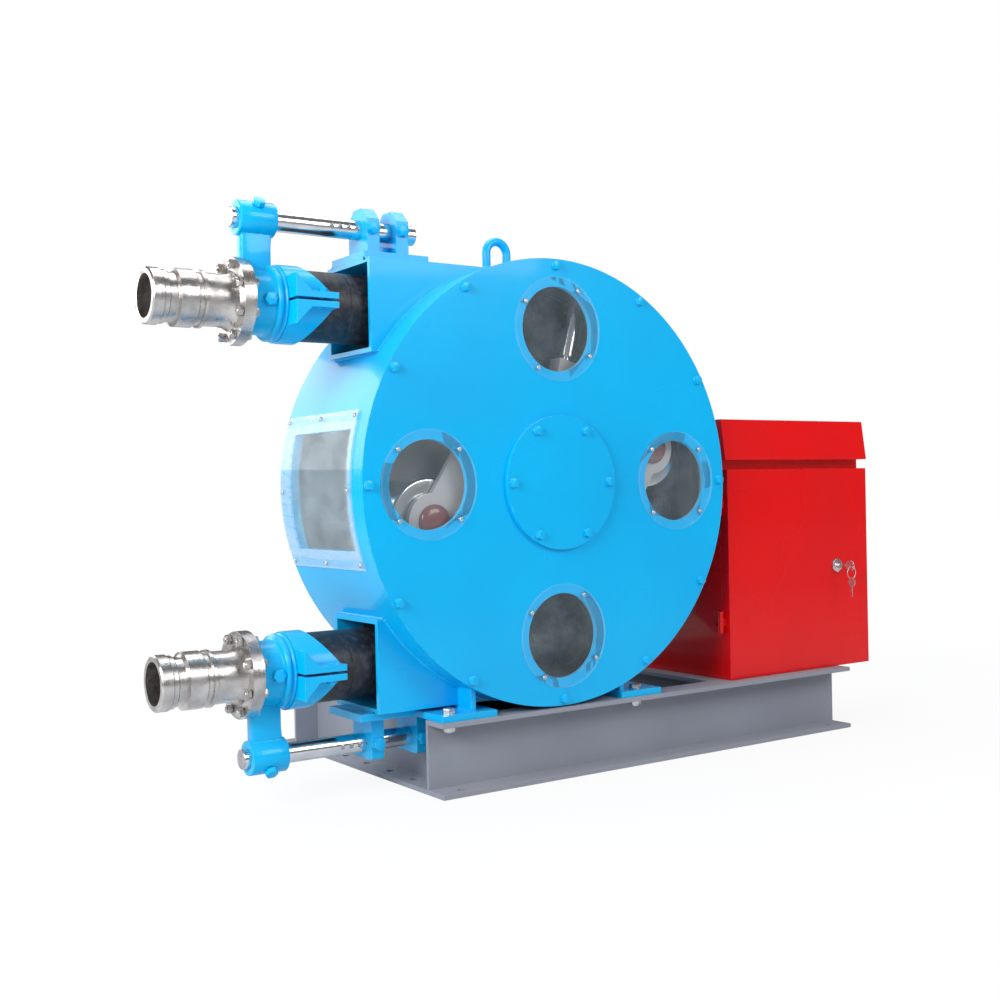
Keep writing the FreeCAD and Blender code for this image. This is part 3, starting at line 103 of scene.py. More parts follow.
camera = bpy.data.objects.new("camera", bpy.data.cameras.new("camera"))
camera.data.lens = LENS_MM
camera.data.sensor_width = 36
camera.data.clip_end = 60
camera_axes = Matrix((right, up, -forward)).transposed().to_4x4()
camera.matrix_world = Matrix.Translation(CAMERA_AT) @ camera_axes
bpy.context.scene.collection.objects.link(camera)
bpy.context.scene.camera = camera
print("camera at", [round(v, 3) for v in CAMERA_AT])

# %% [markdown]
# ## Shader helpers
# The surround, the floor and every finish are small node trees.  A few helpers keep them readable: one
# adds a node with its settings and its input values or links in one call, and one opens a node group
# with named sockets.

# %% Node helpers


def add(tree, kind, inputs=None, **settings):
    node = tree.nodes.new("ShaderNode" + kind)
    for key, value in settings.items():
        setattr(node, key, value)
    for key, value in (inputs or {}).items():
        if isinstance(value, bpy.types.NodeSocket):
            tree.links.new(value, node.inputs[key])
        else:
            node.inputs[key].default_value = value
    return node


def math_node(tree, operation, a, b=0.0, clamp=False):
    return add(tree, "Math", {0: a, 1: b}, operation=operation, use_clamp=clamp).outputs[0]


def blend_colors(tree, share, a, b):
    return add(tree, "Mix", {0: share, 6: a, 7: b}, data_type="RGBA").outputs[2]


def remap(tree, value, low, high, to_low=0.0, to_high=1.0):
    return add(tree, "MapRange", {0: value, 1: low, 2: high, 3: to_low, 4: to_high}).outputs[0]


def open_group(name, inputs, outputs):
    tree = bpy.data.node_groups.new(name, "ShaderNodeTree")
    for label, kind, value in inputs:
        socket = tree.interface.new_socket(label, in_out="INPUT", socket_type="NodeSocket" + kind)
        socket.default_value = value
    for label, kind in outputs:
        tree.interface.new_socket(label, in_out="OUTPUT", socket_type="NodeSocket" + kind)
    return tree, tree.nodes.new("NodeGroupInput").outputs, tree.nodes.new("NodeGroupOutput").inputs


def use_group(tree, group, **inputs):
    node = tree.nodes.new("ShaderNodeGroup")
    node.node_tree = group
    for key, value in inputs.items():
        socket = node.inputs[key.replace("_", " ")]
        if isinstance(value, bpy.types.NodeSocket):
            tree.links.new(value, socket)
        else:
            socket.default_value = value
    return node.outputs


print("helpers ready")

# %% [markdown]
# ## Studio
# Four soft lights stand round the pump.  The key light at the left puts bright bands on the drum's
# side and on the rollers, the front one fills the cover, and the top and back ones separate the upper
# edges.  Saturated paint needs the plain "Standard" view, because a filmic one would bleach the blue
# and the red.

# %% Lights
scene = bpy.context.scene
scene.view_settings.view_transform = "Standard"
LIGHT_ASPECT = 0.7


def area_light(name, at, aim, width, watts, tint=(1, 1, 1)):
    light = bpy.data.lights.new(name, "AREA")
    light.shape = "RECTANGLE"
    light.size = width
    light.size_y = width * LIGHT_ASPECT
    light.energy = watts
    light.color = tint
    holder = bpy.data.objects.new(name, light)
    holder.location = at
    holder.rotation_mode = "QUATERNION"
    holder.rotation_quaternion = (Vector(aim) - Vector(at)).to_track_quat("-Z", "Y")
    scene.collection.objects.link(holder)


area_light("key_light", (-3.6, -1.2, 1.9), (-0.5, 0, 0.7), 1.8, 104, (1.0, 0.99, 0.97))
area_light("front_light", (0.9, -3.6, 2.5), (0.1, 0, 0.7), 2.2, 62, (0.98, 0.99, 1.0))
area_light("top_light", (-0.2, 0.4, 3.2), (0, 0, 0.6), 2.4, 44)
area_light("back_light", (-1.5, 3.2, 1.8), (0, 0, 0.6), 2.4, 40)

# %% [markdown]
# The surround is three skies in one.  Looked at directly it is plain white, as a source of light it is
# a soft bluish grey, and in reflections it is dimmer still, so that gloss doesn't bleach flat paint.
# Light Path tells them apart.

# %% Surround
world = bpy.data.worlds.new("surround")
scene.world = world
world.use_nodes = True
sky = world.node_tree
soft_sky = sky.nodes["Background"]
soft_sky.inputs["Color"].default_value = (0.93, 0.96, 1.0, 1)
soft_sky.inputs["Strength"].default_value = 0.50
white_sky = add(sky, "Background", {"Color": (1, 1, 1, 1)}).outputs[0]
mirrored_sky = add(sky, "Background", {"Strength": 0.20}).outputs[0]
ray = add(sky, "LightPath").outputs
mixed = {"Fac": ray["Is Glossy Ray"], 1: soft_sky.outputs[0], 2: mirrored_sky}
dimmed = add(sky, "MixShader", mixed).outputs[0]
surround = add(sky, "MixShader", {"Fac": ray["Is Camera Ray"], 1: dimmed, 2: white_sky}).outputs[0]
sky.links.new(surround, sky.nodes["World Output"].inputs["Surface"])
print("surround nodes", len(sky.nodes))

# %% [markdown]
# The floor is pale and matt, with a white glow mixed over it that keeps only its soft contact shadows.
# The glow's share grows with the distance from the pump, so the floor melts into the surround and
# shows no horizon.

# %% Floor
SHADE_ENDS = (1.2, 4.0)
GLOW_SHARES = (0.86, 1.0)
floor_bm = bmesh.new()
bmesh.ops.create_grid(floor_bm, x_segments=1, y_segments=1, size=14)
floor_mesh = bpy.data.meshes.new("studio_floor")
floor_bm.to_mesh(floor_mesh)
floor_bm.free()
studio_floor = bpy.data.objects.new("studio_floor", floor_mesh)
studio_floor.location = (0, 0, -0.0005)
scene.collection.objects.link(studio_floor)
pale = bpy.data.materials.new("pale_floor")
pale.use_nodes = True
tree = pale.node_tree
matt_floor = tree.nodes["Principled BSDF"]
matt_floor.inputs["Roughness"].default_value = 0.75
matt_floor.inputs["Base Color"].default_value = (0.62, 0.63, 0.64, 1)
glow = add(tree, "Emission", {"Strength": 1.04}).outputs[0]
place = add(tree, "TexCoord").outputs["Object"]
reach = add(tree, "VectorMath", {0: place}, operation="LENGTH").outputs["Value"]
share = remap(tree, reach, *SHADE_ENDS, *GLOW_SHARES)
share = math_node(tree, "MULTIPLY", add(tree, "LightPath").outputs["Is Camera Ray"], share)
blended = add(tree, "MixShader", {"Fac": share, 1: matt_floor.outputs[0], 2: glow}).outputs[0]
tree.links.new(blended, tree.nodes["Material Output"].inputs["Surface"])
floor_mesh.materials.append(pale)
print("floor reaches", round(max(v.co.x for v in floor_mesh.vertices), 1))

# %% [markdown]
# ## Effect: softened, worn and highlighted edges
# Sawn plate and castings never have razor edges, and paint is thinnest there.  A Bevel node rounds
# the shading over a real radius, and where its normal leaves the flat one there is an edge, so the
# same node gives an edge mask.  The paints blend a painted highlight along it, and a noise breaks it
# into chips of real wear.

# %% Group: soft edges
soft_edges, ins, outs = open_group(
    "soft_edges",
    [("Radius", "Float", 0.0015), ("Chip scale", "Float", 70.0), ("Chips", "Float", 0.5)],
    [("Normal", "Vector"), ("Edge", "Float"), ("Chipped", "Float")],
)
rounded = add(soft_edges, "Bevel", {"Radius": ins["Radius"]}, samples=4)
flat = add(soft_edges, "NewGeometry")
agreement = add(
    soft_edges,
    "VectorMath",
    {0: rounded.outputs[0], 1: flat.outputs["Normal"]},
    operation="DOT_PRODUCT",
).outputs["Value"]
edge = remap(soft_edges, agreement, 0.995, 0.80)
place = add(soft_edges, "TexCoord").outputs["Object"]
chips = add(soft_edges, "TexNoise", {"Vector": place, "Scale": ins["Chip scale"], "Detail": 4.0}).outputs[0]
loose = remap(soft_edges, chips, 0.52, 0.60)
chipped = math_node(soft_edges, "MULTIPLY", edge, loose)
chipped = math_node(soft_edges, "MULTIPLY", chipped, ins["Chips"], True)
for label, value in (("Normal", rounded.outputs[0]), ("Edge", edge), ("Chipped", chipped)):
    soft_edges.links.new(value, outs[label])
print(soft_edges.name, len(soft_edges.nodes), "nodes")

# %% [markdown]
# ## Effect: a coat of paint
# Sprayed enamel on a fabricated casing has orange peel, broad lumps where filler and welds show
# through, slow changes of tone, and pale dust on what faces up.  The group gives the colour, the
# roughness and the height of such a coat, and each paint sets how strong they are.

# %% Group: paint coat
paint_coat, ins, outs = open_group(
    "paint_coat",
    [
        ("Color", "Color", (0.5, 0.5, 0.5, 1)),
        ("Deep color", "Color", (0.3, 0.3, 0.3, 1)),
        ("Dust color", "Color", (0.8, 0.8, 0.8, 1)),
        ("Dust", "Float", 0.1),
        ("Roughness", "Float", 0.3),
        ("Peel scale", "Float", 220.0),
        ("Lump scale", "Float", 22.0),
        ("Lumps", "Float", 0.5),
    ],
    [("Color", "Color"), ("Roughness", "Float"), ("Height", "Float")],
)
place = add(paint_coat, "TexCoord").outputs["Object"]
broad = add(paint_coat, "TexNoise", {"Vector": place, "Scale": 3.0, "Detail": 3.0}).outputs[0]
peel = add(paint_coat, "TexNoise", {"Vector": place, "Scale": ins["Peel scale"], "Detail": 2.0}).outputs[0]
lumps = add(paint_coat, "TexNoise", {"Vector": place, "Scale": ins["Lump scale"], "Detail": 4.0}).outputs[0]
specks = add(paint_coat, "TexNoise", {"Vector": place, "Scale": 420.0, "Detail": 2.0}).outputs[0]
tone = blend_colors(paint_coat, remap(paint_coat, broad, 0.3, 0.7), ins["Color"], ins["Deep color"])
facing = add(paint_coat, "SeparateXYZ", {0: add(paint_coat, "NewGeometry").outputs["Normal"]}).outputs["Z"]
upward = remap(paint_coat, facing, 0.3, 0.95)
settled = math_node(paint_coat, "MULTIPLY", upward, remap(paint_coat, broad, 0.35, 0.65, 0.4, 1.0))
grains = math_node(paint_coat, "GREATER_THAN", specks, 0.71)
dusty = math_node(paint_coat, "ADD", settled, grains, True)
dusty = math_node(paint_coat, "MULTIPLY", dusty, ins["Dust"], True)
dressed = blend_colors(paint_coat, dusty, tone, ins["Dust color"])
matt = math_node(paint_coat, "ADD", ins["Roughness"], remap(paint_coat, broad, 0.3, 0.7, -0.04, 0.08))
matt = math_node(paint_coat, "ADD", matt, math_node(paint_coat, "MULTIPLY", dusty, 0.5), True)
raised = math_node(paint_coat, "MULTIPLY", lumps, ins["Lumps"])
raised = math_node(paint_coat, "ADD", raised, math_node(paint_coat, "MULTIPLY", peel, 0.12))
for label, value in (("Color", dressed), ("Roughness", matt), ("Height", raised)):
    paint_coat.links.new(value, outs[label])
print(paint_coat.name, len(paint_coat.nodes), "nodes")

# %% [markdown]
# ## Effect: the grain of worked metal
# Turning and brushing leave fine lines in one direction.  A noise stretched along that direction
# gives them, a second, round noise adds the handling marks that dull a bright surface here and there,
# and a third gives shallow dents to what was dressed by hand.

# %% Group: metal grain
metal_grain, ins, outs = open_group(
    "metal_grain",
    [
        ("Stretch", "Vector", (900.0, 900.0, 30.0)),
        ("Roughness", "Float", 0.2),
        ("Marks", "Float", 0.15),
        ("Dents", "Float", 0.0),
    ],
    [("Roughness", "Float"), ("Height", "Float"), ("Tone", "Float")],
)
place = add(metal_grain, "TexCoord").outputs["Object"]
drawn = add(metal_grain, "Mapping", {"Vector": place, "Scale": ins["Stretch"]}).outputs[0]
lines = add(metal_grain, "TexNoise", {"Vector": drawn, "Scale": 1.0, "Detail": 3.0}).outputs[0]
touched = add(metal_grain, "TexNoise", {"Vector": place, "Scale": 26.0, "Detail": 5.0}).outputs[0]
dulled = math_node(metal_grain, "MULTIPLY", remap(metal_grain, touched, 0.45, 0.75), ins["Marks"])
shine = math_node(metal_grain, "ADD", ins["Roughness"], dulled)
shine = math_node(metal_grain, "ADD", shine, remap(metal_grain, lines, 0.3, 0.7, -0.04, 0.06), True)
dents = add(metal_grain, "TexNoise", {"Vector": place, "Scale": 55.0, "Detail": 2.0}).outputs[0]
hammered = math_node(metal_grain, "ADD", lines, math_node(metal_grain, "MULTIPLY", dents, ins["Dents"]))
for label, value in (("Roughness", shine), ("Height", hammered), ("Tone", touched)):
    metal_grain.links.new(value, outs[label])
print(metal_grain.name, len(metal_grain.nodes), "nodes")

# %% [markdown]
# ## Painted finishes
# One function makes each paint from its own colours.  The paint stays a dielectric with a clear
# coat, and chips at the edges show a paler primer.  Along every edge a lighter tint of the paint is
# blended in as a painted highlight, standing in for the bright line a real casing's rounded rim catches.
# Inside the drum the blue gives way to a grey primer, by a mask on the distance from the shaft.

# %% Paints
MATERIALS = {}


def new_material(name):
    material = bpy.data.materials.new(name)
    material.use_nodes = True
    MATERIALS[name] = material
    return material.node_tree, material.node_tree.nodes["Principled BSDF"]


def rgb(*values):
    return (*values, 1.0)


def join(tree, shader, **sockets):
    for key, value in sockets.items():
        socket = shader.inputs[key.replace("_", " ")]
        if isinstance(value, bpy.types.NodeSocket):
            tree.links.new(value, socket)
        else:
            socket.default_value = value


def inside_casing(tree):
    """A mask of the drum's inside: within its wall, and between the front cover and the back plate."""
    place = add(tree, "TexCoord").outputs["Object"]
    shaft_line = (SHAFT.x, 0, SHAFT.z)
    from_shaft = add(tree, "VectorMath", {0: place, 1: shaft_line}, operation="SUBTRACT").outputs[0]
    across = add(tree, "VectorMath", {0: from_shaft, 1: (1, 0, 1)}, operation="MULTIPLY").outputs[0]
    reach = add(tree, "VectorMath", {0: across}, operation="LENGTH").outputs["Value"]
    depth = add(tree, "SeparateXYZ", {0: place}).outputs["Y"]
    within = math_node(tree, "LESS_THAN", reach, INSIDE_R)
    behind_cover = math_node(tree, "GREATER_THAN", depth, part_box("front_cover")[1].y - 0.001)
    before_back = math_node(tree, "LESS_THAN", depth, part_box("casing_back_plate")[0].y + 0.001)
    between = math_node(tree, "MULTIPLY", behind_cover, before_back)
    return math_node(tree, "MULTIPLY", within, between)


DUST_COLOR = rgb(0.78, 0.80, 0.82)


def paint(name, color, deep, chip, edge_highlight_tint, roughness, coat, dust=0.1, lumps=0.5,
          lump_scale=22.0, radius=0.0016, bump=0.12, chips=0.6, primer=None):
    tree, shader = new_material(name)
    tones = [rgb(*color), rgb(*deep)]
    if primer:
        inside = inside_casing(tree)
        tones = [blend_colors(tree, inside, tone, rgb(*primer)) for tone in tones]
    coated = use_group(tree, paint_coat, Color=tones[0], Deep_color=tones[1], Dust=dust,
                       Roughness=roughness, Lumps=lumps, Lump_scale=lump_scale, Dust_color=DUST_COLOR)
    edges = use_group(tree, soft_edges, Radius=radius, Chips=chips)
    # Painted highlight: a lighter tint of the paint is blended in along every edge, standing in for the
    # bright line that light draws on a rounded rim.
    wear_and_highlight_share = math_node(tree, "MULTIPLY", edges["Edge"], 0.45)
    edge_highlighted = blend_colors(tree, wear_and_highlight_share, coated["Color"], rgb(*edge_highlight_tint))
    shown = blend_colors(tree, edges["Chipped"], edge_highlighted, rgb(*chip))
    height = {"Height": coated["Height"], "Normal": edges["Normal"], "Strength": bump, "Distance": 0.004}
    relief = add(tree, "Bump", height).outputs[0]
    join(tree, shader, Base_Color=shown, Roughness=coated["Roughness"], Normal=relief,
         Coat_Weight=coat, Coat_Roughness=0.06, Specular_IOR_Level=0.2)


paint("casing_blue", (0.000, 0.455, 0.850), (0.000, 0.400, 0.790), (0.45, 0.80, 0.92),
      (0.04, 0.75, 0.95), 0.28, 0.25, dust=0.04, lumps=0.9, lump_scale=15.0, bump=0.22,
      primer=(0.27, 0.275, 0.32))
paint("base_grey", (0.290, 0.305, 0.355), (0.245, 0.258, 0.305), (0.46, 0.47, 0.50),
      (0.34, 0.35, 0.39), 0.42, 0.15, dust=0.14, lumps=0.8, lump_scale=30.0, bump=0.2)
paint("cabinet_red", (0.780, 0.002, 0.003), (0.700, 0.001, 0.003), (0.75, 0.25, 0.22),
      (0.88, 0.03, 0.04), 0.26, 0.35, dust=0.05, lumps=0.4, lump_scale=9.0, radius=0.0022,
      bump=0.08, chips=0.25)
paint("drive_paint", (0.020, 0.220, 0.500), (0.014, 0.180, 0.430), (0.50, 0.60, 0.68),
      (0.06, 0.38, 0.66), 0.34, 0.4, dust=0.16, lumps=0.8, lump_scale=60.0, bump=0.2)
# Painted shade: the rotor's cream is darkened to a grey here, standing in for the shade inside the drum.
paint("rotor_cream", (0.480, 0.465, 0.460), (0.400, 0.385, 0.390), (0.22, 0.21, 0.21),
      (0.62, 0.60, 0.58), 0.40, 0.2, dust=0.08, lumps=0.6, lump_scale=40.0)
paint("red_oxide", (0.210, 0.045, 0.040), (0.150, 0.032, 0.030), (0.34, 0.24, 0.22),
      (0.34, 0.10, 0.08), 0.26, 0.7, dust=0.04, lumps=0.5, lump_scale=60.0)
print("paints", sorted(MATERIALS))

# %% [markdown]
# ## Metals
# Stainless fittings are turned and hand polished, the tension rods and rollers are ground bright,
# bolts are zinc plated, shafts are as turned, and the worm wheel is bronze.  All share the grain
# group, with its lines stretched along the direction each piece was worked in.

# %% Metals


def metal(name, color, dark, roughness, stretch, marks=0.15, bump=0.05, dents=0.0):
    tree, shader = new_material(name)
    grain = use_group(tree, metal_grain, Stretch=stretch, Roughness=roughness, Marks=marks, Dents=dents)
    edges = use_group(tree, soft_edges, Radius=0.0008, Chips=0.0)
    wear_and_highlight_share = remap(tree, grain["Tone"], 0.35, 0.7)
    base = blend_colors(tree, wear_and_highlight_share, rgb(*color), rgb(*dark))
    height = {"Height": grain["Height"], "Normal": edges["Normal"], "Strength": bump, "Distance": 0.001}
    relief = add(tree, "Bump", height).outputs[0]
    join(tree, shader, Base_Color=base, Roughness=grain["Roughness"], Normal=relief, Metallic=1.0)


metal("stainless", (0.66, 0.63, 0.61), (0.46, 0.44, 0.43), 0.25, (2400.0, 60.0, 60.0), marks=0.24,
      bump=0.13, dents=7.0)
metal("polished_steel", (0.83, 0.83, 0.83), (0.68, 0.68, 0.70), 0.15, (1800.0, 50.0, 50.0), marks=0.10)
metal("zinc_steel", (0.74, 0.75, 0.76), (0.56, 0.57, 0.58), 0.27, (300.0, 300.0, 300.0), marks=0.2)
metal("machined_steel", (0.55, 0.55, 0.57), (0.38, 0.38, 0.40), 0.28, (60.0, 2000.0, 60.0), marks=0.2)
metal("bronze", (0.66, 0.42, 0.18), (0.44, 0.26, 0.11), 0.26, (60.0, 1600.0, 60.0), marks=0.2)
print("metals", list(MATERIALS)[-5:])

# %% [markdown]
# ## Rubber, clear sheet and plastics
# The hose is wrapped in cloth tape while it is cured, which leaves shallow bands round it.  The bands
# have to follow the hose round the drum, so the material reads an attribute that the hose's mesh
# carries: the cosine and sine of the angle round it, and the distance along it.

# %% Hose rubber
tree, shader = new_material("hose_rubber")
run = add(tree, "Attribute", attribute_name="hose_run", attribute_type="GEOMETRY").outputs["Vector"]
parts = add(tree, "SeparateXYZ", {0: run}).outputs
BAND_PITCH = 0.052
lean = math_node(tree, "MULTIPLY", parts["X"], 0.05)
turns = math_node(tree, "ADD", math_node(tree, "DIVIDE", parts["Z"], BAND_PITCH), lean)
saw = math_node(tree, "FRACT", turns)
step = math_node(tree, "MULTIPLY", remap(tree, saw, 0.0, 0.06), remap(tree, saw, 1.0, 0.90))
weave_place = add(tree, "Mapping", {"Vector": run, "Scale": (14.0, 14.0, 190.0)}).outputs[0]
cloth = add(tree, "TexNoise", {"Vector": weave_place, "Scale": 3.0, "Detail": 4.0}).outputs[0]
scuffs = add(tree, "TexNoise", {"Vector": weave_place, "Scale": 0.35, "Detail": 6.0}).outputs[0]
rubber_height = math_node(tree, "ADD", step, math_node(tree, "MULTIPLY", cloth, 0.45))
rubbed = remap(tree, scuffs, 0.45, 0.7)
rubber_tone = blend_colors(tree, rubbed, rgb(0.012, 0.012, 0.017), rgb(0.045, 0.045, 0.055))
relief = add(tree, "Bump", {"Height": rubber_height, "Strength": 0.35, "Distance": 0.002})
join(tree, shader, Base_Color=rubber_tone, Roughness=remap(tree, scuffs, 0.3, 0.7, 0.36, 0.58),
     Normal=relief.outputs[0])
print("band pitch", BAND_PITCH)

# %% [markdown]
# Moulded rubber and plastics differ by tone, by how fine their texture is and by gloss, so one
# function makes the hose bed, the fan and the control gear.

# %% Moulded parts


def moulded(name, color, other, roughness, grain_scale, bump):
    tree, shader = new_material(name)
    place = add(tree, "TexCoord").outputs["Object"]
    blotch = add(tree, "TexNoise", {"Vector": place, "Scale": 12.0, "Detail": 4.0}).outputs[0]
    grain = add(tree, "TexNoise", {"Vector": place, "Scale": grain_scale, "Detail": 2.0}).outputs[0]
    edges = use_group(tree, soft_edges, Radius=0.001, Chips=0.0)
    height = {"Height": grain, "Normal": edges["Normal"], "Strength": bump, "Distance": 0.001}
    relief = add(tree, "Bump", height).outputs[0]
    tone = blend_colors(tree, remap(tree, blotch, 0.35, 0.65), rgb(*color), rgb(*other))
    matt = remap(tree, blotch, 0.3, 0.7, roughness - 0.05, roughness + 0.1)
    join(tree, shader, Base_Color=tone, Roughness=matt, Normal=relief)


moulded("bed_rubber", (0.022, 0.022, 0.024), (0.045, 0.042, 0.040), 0.55, 260.0, 0.25)
moulded("fan_plastic", (0.020, 0.020, 0.022), (0.035, 0.035, 0.037), 0.42, 600.0, 0.12)
moulded("control_gear", (0.52, 0.53, 0.53), (0.46, 0.47, 0.48), 0.45, 700.0, 0.10)
print("moulded parts ready")

# %% [markdown]
# The windows are clear plastic sheet.  The flat discs are new and let the dark inside show, while the
# curved sheet on the drum's side is scuffed and milky, most of all where it laps onto the paint
# around its opening.  An alpha below one keeps light coming in, so the rotor behind can be seen, and
# the lap is a mask on height and depth about the opening.

# %% Clear sheets
SIDE_OPENING = {"Y": (-0.322, -0.054), "Z": (0.5275, 0.7815)}


def clear_sheet(name, haze_range, line_strength, lap=None):
    tree, shader = new_material(name)
    place = add(tree, "TexCoord").outputs["Object"]
    wiped = add(tree, "Mapping", {"Vector": place, "Scale": (90.0, 30.0, 420.0)}).outputs[0]
    scratches = add(tree, "TexNoise", {"Vector": wiped, "Scale": 1.0, "Detail": 5.0}).outputs[0]
    haze = add(tree, "TexNoise", {"Vector": place, "Scale": 14.0, "Detail": 3.0}).outputs[0]
    lined = remap(tree, scratches, 0.60, 0.72, 0.0, line_strength)
    alpha = math_node(tree, "ADD", remap(tree, haze, 0.3, 0.7, *haze_range), lined)
    normal = add(tree, "NewGeometry").outputs["Normal"]
    if lap:
        parts = add(tree, "SeparateXYZ", {0: place}).outputs
        beyond = []
        for axis, (low, high) in SIDE_OPENING.items():
            off = math_node(tree, "SUBTRACT", parts[axis], (low + high) / 2)
            off = math_node(tree, "ABSOLUTE", off)
            beyond.append(math_node(tree, "SUBTRACT", off, (high - low) / 2))
        outside = math_node(tree, "MAXIMUM", *beyond)
        alpha = math_node(tree, "ADD", alpha, remap(tree, outside, -0.001, 0.002, 0.0, lap), True)
    else:
        cut = use_group(tree, soft_edges, Radius=0.0015, Chips=0.0)
        alpha = math_node(tree, "ADD", alpha, math_node(tree, "MULTIPLY", cut["Edge"], 0.5), True)
        normal = cut["Normal"]
    matt = remap(tree, haze, 0.3, 0.7, 0.04, 0.12)
    join(tree, shader, Base_Color=rgb(0.70, 0.88, 0.97), Roughness=matt, Alpha=alpha, Normal=normal,
         Coat_Weight=0.5, Coat_Roughness=0.03)


clear_sheet("clear_sheet", (0.03, 0.07), 0.06)
clear_sheet("scuffed_sheet", (0.10, 0.20), 0.12, lap=0.17)
print("clear sheets ready")

# %% [markdown]
# ## Give each design node its finish
# The record names a material slot for every node.  Each Blender material has the same name as its
# slot, so one loop dresses the whole frame.

# %% Dress the frame
SLOT_OF = {row["node"]: row["material_slot"] for row in frame["record"]["subparts"]}
for node, piece in frame["nodes"].items():
    piece.data.materials.clear()
    finish = "scuffed_sheet" if node == "side_window_pane" else SLOT_OF[node]
    piece.data.materials.append(MATERIALS[finish])
print("dressed", len(SLOT_OF), "nodes with", len(MATERIALS), "materials")

# %% [markdown]
# ## Helpers for new pieces
# A piece is a bmesh that becomes an object at the origin.  Small parts that repeat, such as bolts, are
# modelled once, pointing along +Z, and stamped where they are needed.

# %% Piece helpers


def mesh_of(bm, name, smooth_angle=35.0):
    mesh = bpy.data.meshes.new(name)
    bm.to_mesh(mesh)
    bm.free()
    mesh.polygons.foreach_set("use_smooth", [True] * len(mesh.polygons))
    mesh.set_sharp_from_angle(angle=math.radians(smooth_angle))
    return mesh


def make_piece(name, bm, body, slot, replaces=(), smooth_angle=35.0):
    piece = bpy.data.objects.new(name, mesh_of(bm, name, smooth_angle))
    piece.data.materials.append(MATERIALS[slot])
    scene.collection.objects.link(piece)
    if body:
        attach(piece, body)
    if replaces:
        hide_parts(*replaces)
    print(name, len(piece.data.polygons), "faces")
    return piece


def lathe(profile, steps=48, closed=False):
    """Spins a profile of (radius, height) points about +Z."""
    bm = bmesh.new()
    verts = [bm.verts.new((r, 0, z)) for r, z in profile]
    ends = verts[1:] + verts[:1] if closed else verts[1:]
    edges = [bm.edges.new(pair) for pair in zip(verts, ends)]
    bmesh.ops.spin(bm, geom=verts + edges, axis=(0, 0, 1), cent=(0, 0, 0), angle=math.tau, steps=steps,
                   use_merge=True, use_duplicate=False)
    bmesh.ops.remove_doubles(bm, verts=bm.verts, dist=1e-6)
    bmesh.ops.recalc_face_normals(bm, faces=bm.faces)
    return bm


def stamp(bm, template, matrix):
    copy = template.copy()
    copy.transform(matrix)
    bm.from_mesh(copy)
    bpy.data.meshes.remove(copy)


def aimed(at, out, turn=0.0):
    """A matrix that carries +Z to a direction, at a place, after a turn about +Z."""
    facing = Vector(out).to_track_quat("Z", "Y").to_matrix().to_4x4()
    return Matrix.Translation(at) @ facing @ Matrix.Rotation(turn, 4, "Z")


def point(bm, at, out):
    bmesh.ops.transform(bm, matrix=aimed(at, out), verts=bm.verts)


def thicken(bm, vec):
    """Extrudes all faces along a vector and keeps them as the solid's other side."""
    made = bmesh.ops.extrude_face_region(bm, geom=bm.faces[:], use_keep_orig=True)["geom"]
    bmesh.ops.translate(bm, vec=vec, verts=[g for g in made if isinstance(g, bmesh.types.BMVert)])


def merge(bm, other):
    mesh = bpy.data.meshes.new("merged")
    other.to_mesh(mesh)
    other.free()
    bm.from_mesh(mesh)
    bpy.data.meshes.remove(mesh)


print("piece helpers ready")

# %% [markdown]
# ## Bolts, nuts and screws
# A hexagon head is a six-sided cone with no taper whose top edges are bevelled, standing on a thin
# round washer.  A nut is the same with its thread's end showing through.  A window screw is a low
# dome with a sunk recess, so one turned profile makes it.

# %% Fastener templates
WASHER_T = 0.0012


def hex_template(name, size, height, washer=True, stub=0.0):
    bm = bmesh.new()
    corner = 0.75 * size / math.cos(math.pi / 6)
    made = bmesh.ops.create_cone(bm, cap_ends=True, segments=6, radius1=corner, radius2=corner, depth=height)
    bmesh.ops.translate(bm, verts=made["verts"], vec=(0, 0, height / 2 + WASHER_T))
    top = [e for e in bm.edges if all(v.co.z > height * 0.9 for v in e.verts)]
    bmesh.ops.bevel(bm, geom=top, offset=0.07 * size, segments=2, profile=0.5, affect="EDGES", material=-1)
    if washer:
        rim = 0.92 * size
        merge(bm, lathe([(0, 0), (rim, 0), (rim, 0.0009), (0.9 * size, WASHER_T), (0, WASHER_T)], 24))
    if stub:
        r, end = size / 2, height + stub
        merge(bm, lathe([(0, height), (r, height), (r, end - 0.001), (r - 0.001, end), (0, end)], 16))
    return mesh_of(bm, name, 30)


def screw_template(name, size):
    dome = [(0, 0), (0.9, 0), (0.88, 0.2), (0.7, 0.42), (0.42, 0.52), (0.40, 0.52), (0.30, 0.30), (0, 0.26)]
    return mesh_of(lathe([(r * size, z * size) for r, z in dome], 12), name, 40)


M12, M16, M6 = 0.012, 0.016, 0.006
M12_HEAD_H, M16_HEAD_H = 0.0078, 0.0104
M12_HEAD = hex_template("m12_head", M12, M12_HEAD_H)
M12_NUT = hex_template("m12_nut", M12, 0.0096, washer=False, stub=0.004)
M16_HEAD = hex_template("m16_head", M16, M16_HEAD_H)
M16_NUT = hex_template("m16_nut", M16, 0.0128, stub=0.004)
M16_SET = hex_template("m16_set", M16, M16_HEAD_H, washer=False)
M6_SCREW = screw_template("m6_screw", M6)
print("templates", M12_HEAD.name, len(M12_HEAD.polygons), M6_SCREW.name, len(M6_SCREW.polygons))

# %% [markdown]
# ## Where the fasteners go
# The design model already holds every bolt as a loose solid, so each head's seat can be found by
# splitting that node's mesh into its islands.  That is safer than repeating long lists of places.

# %% Islands of a design node


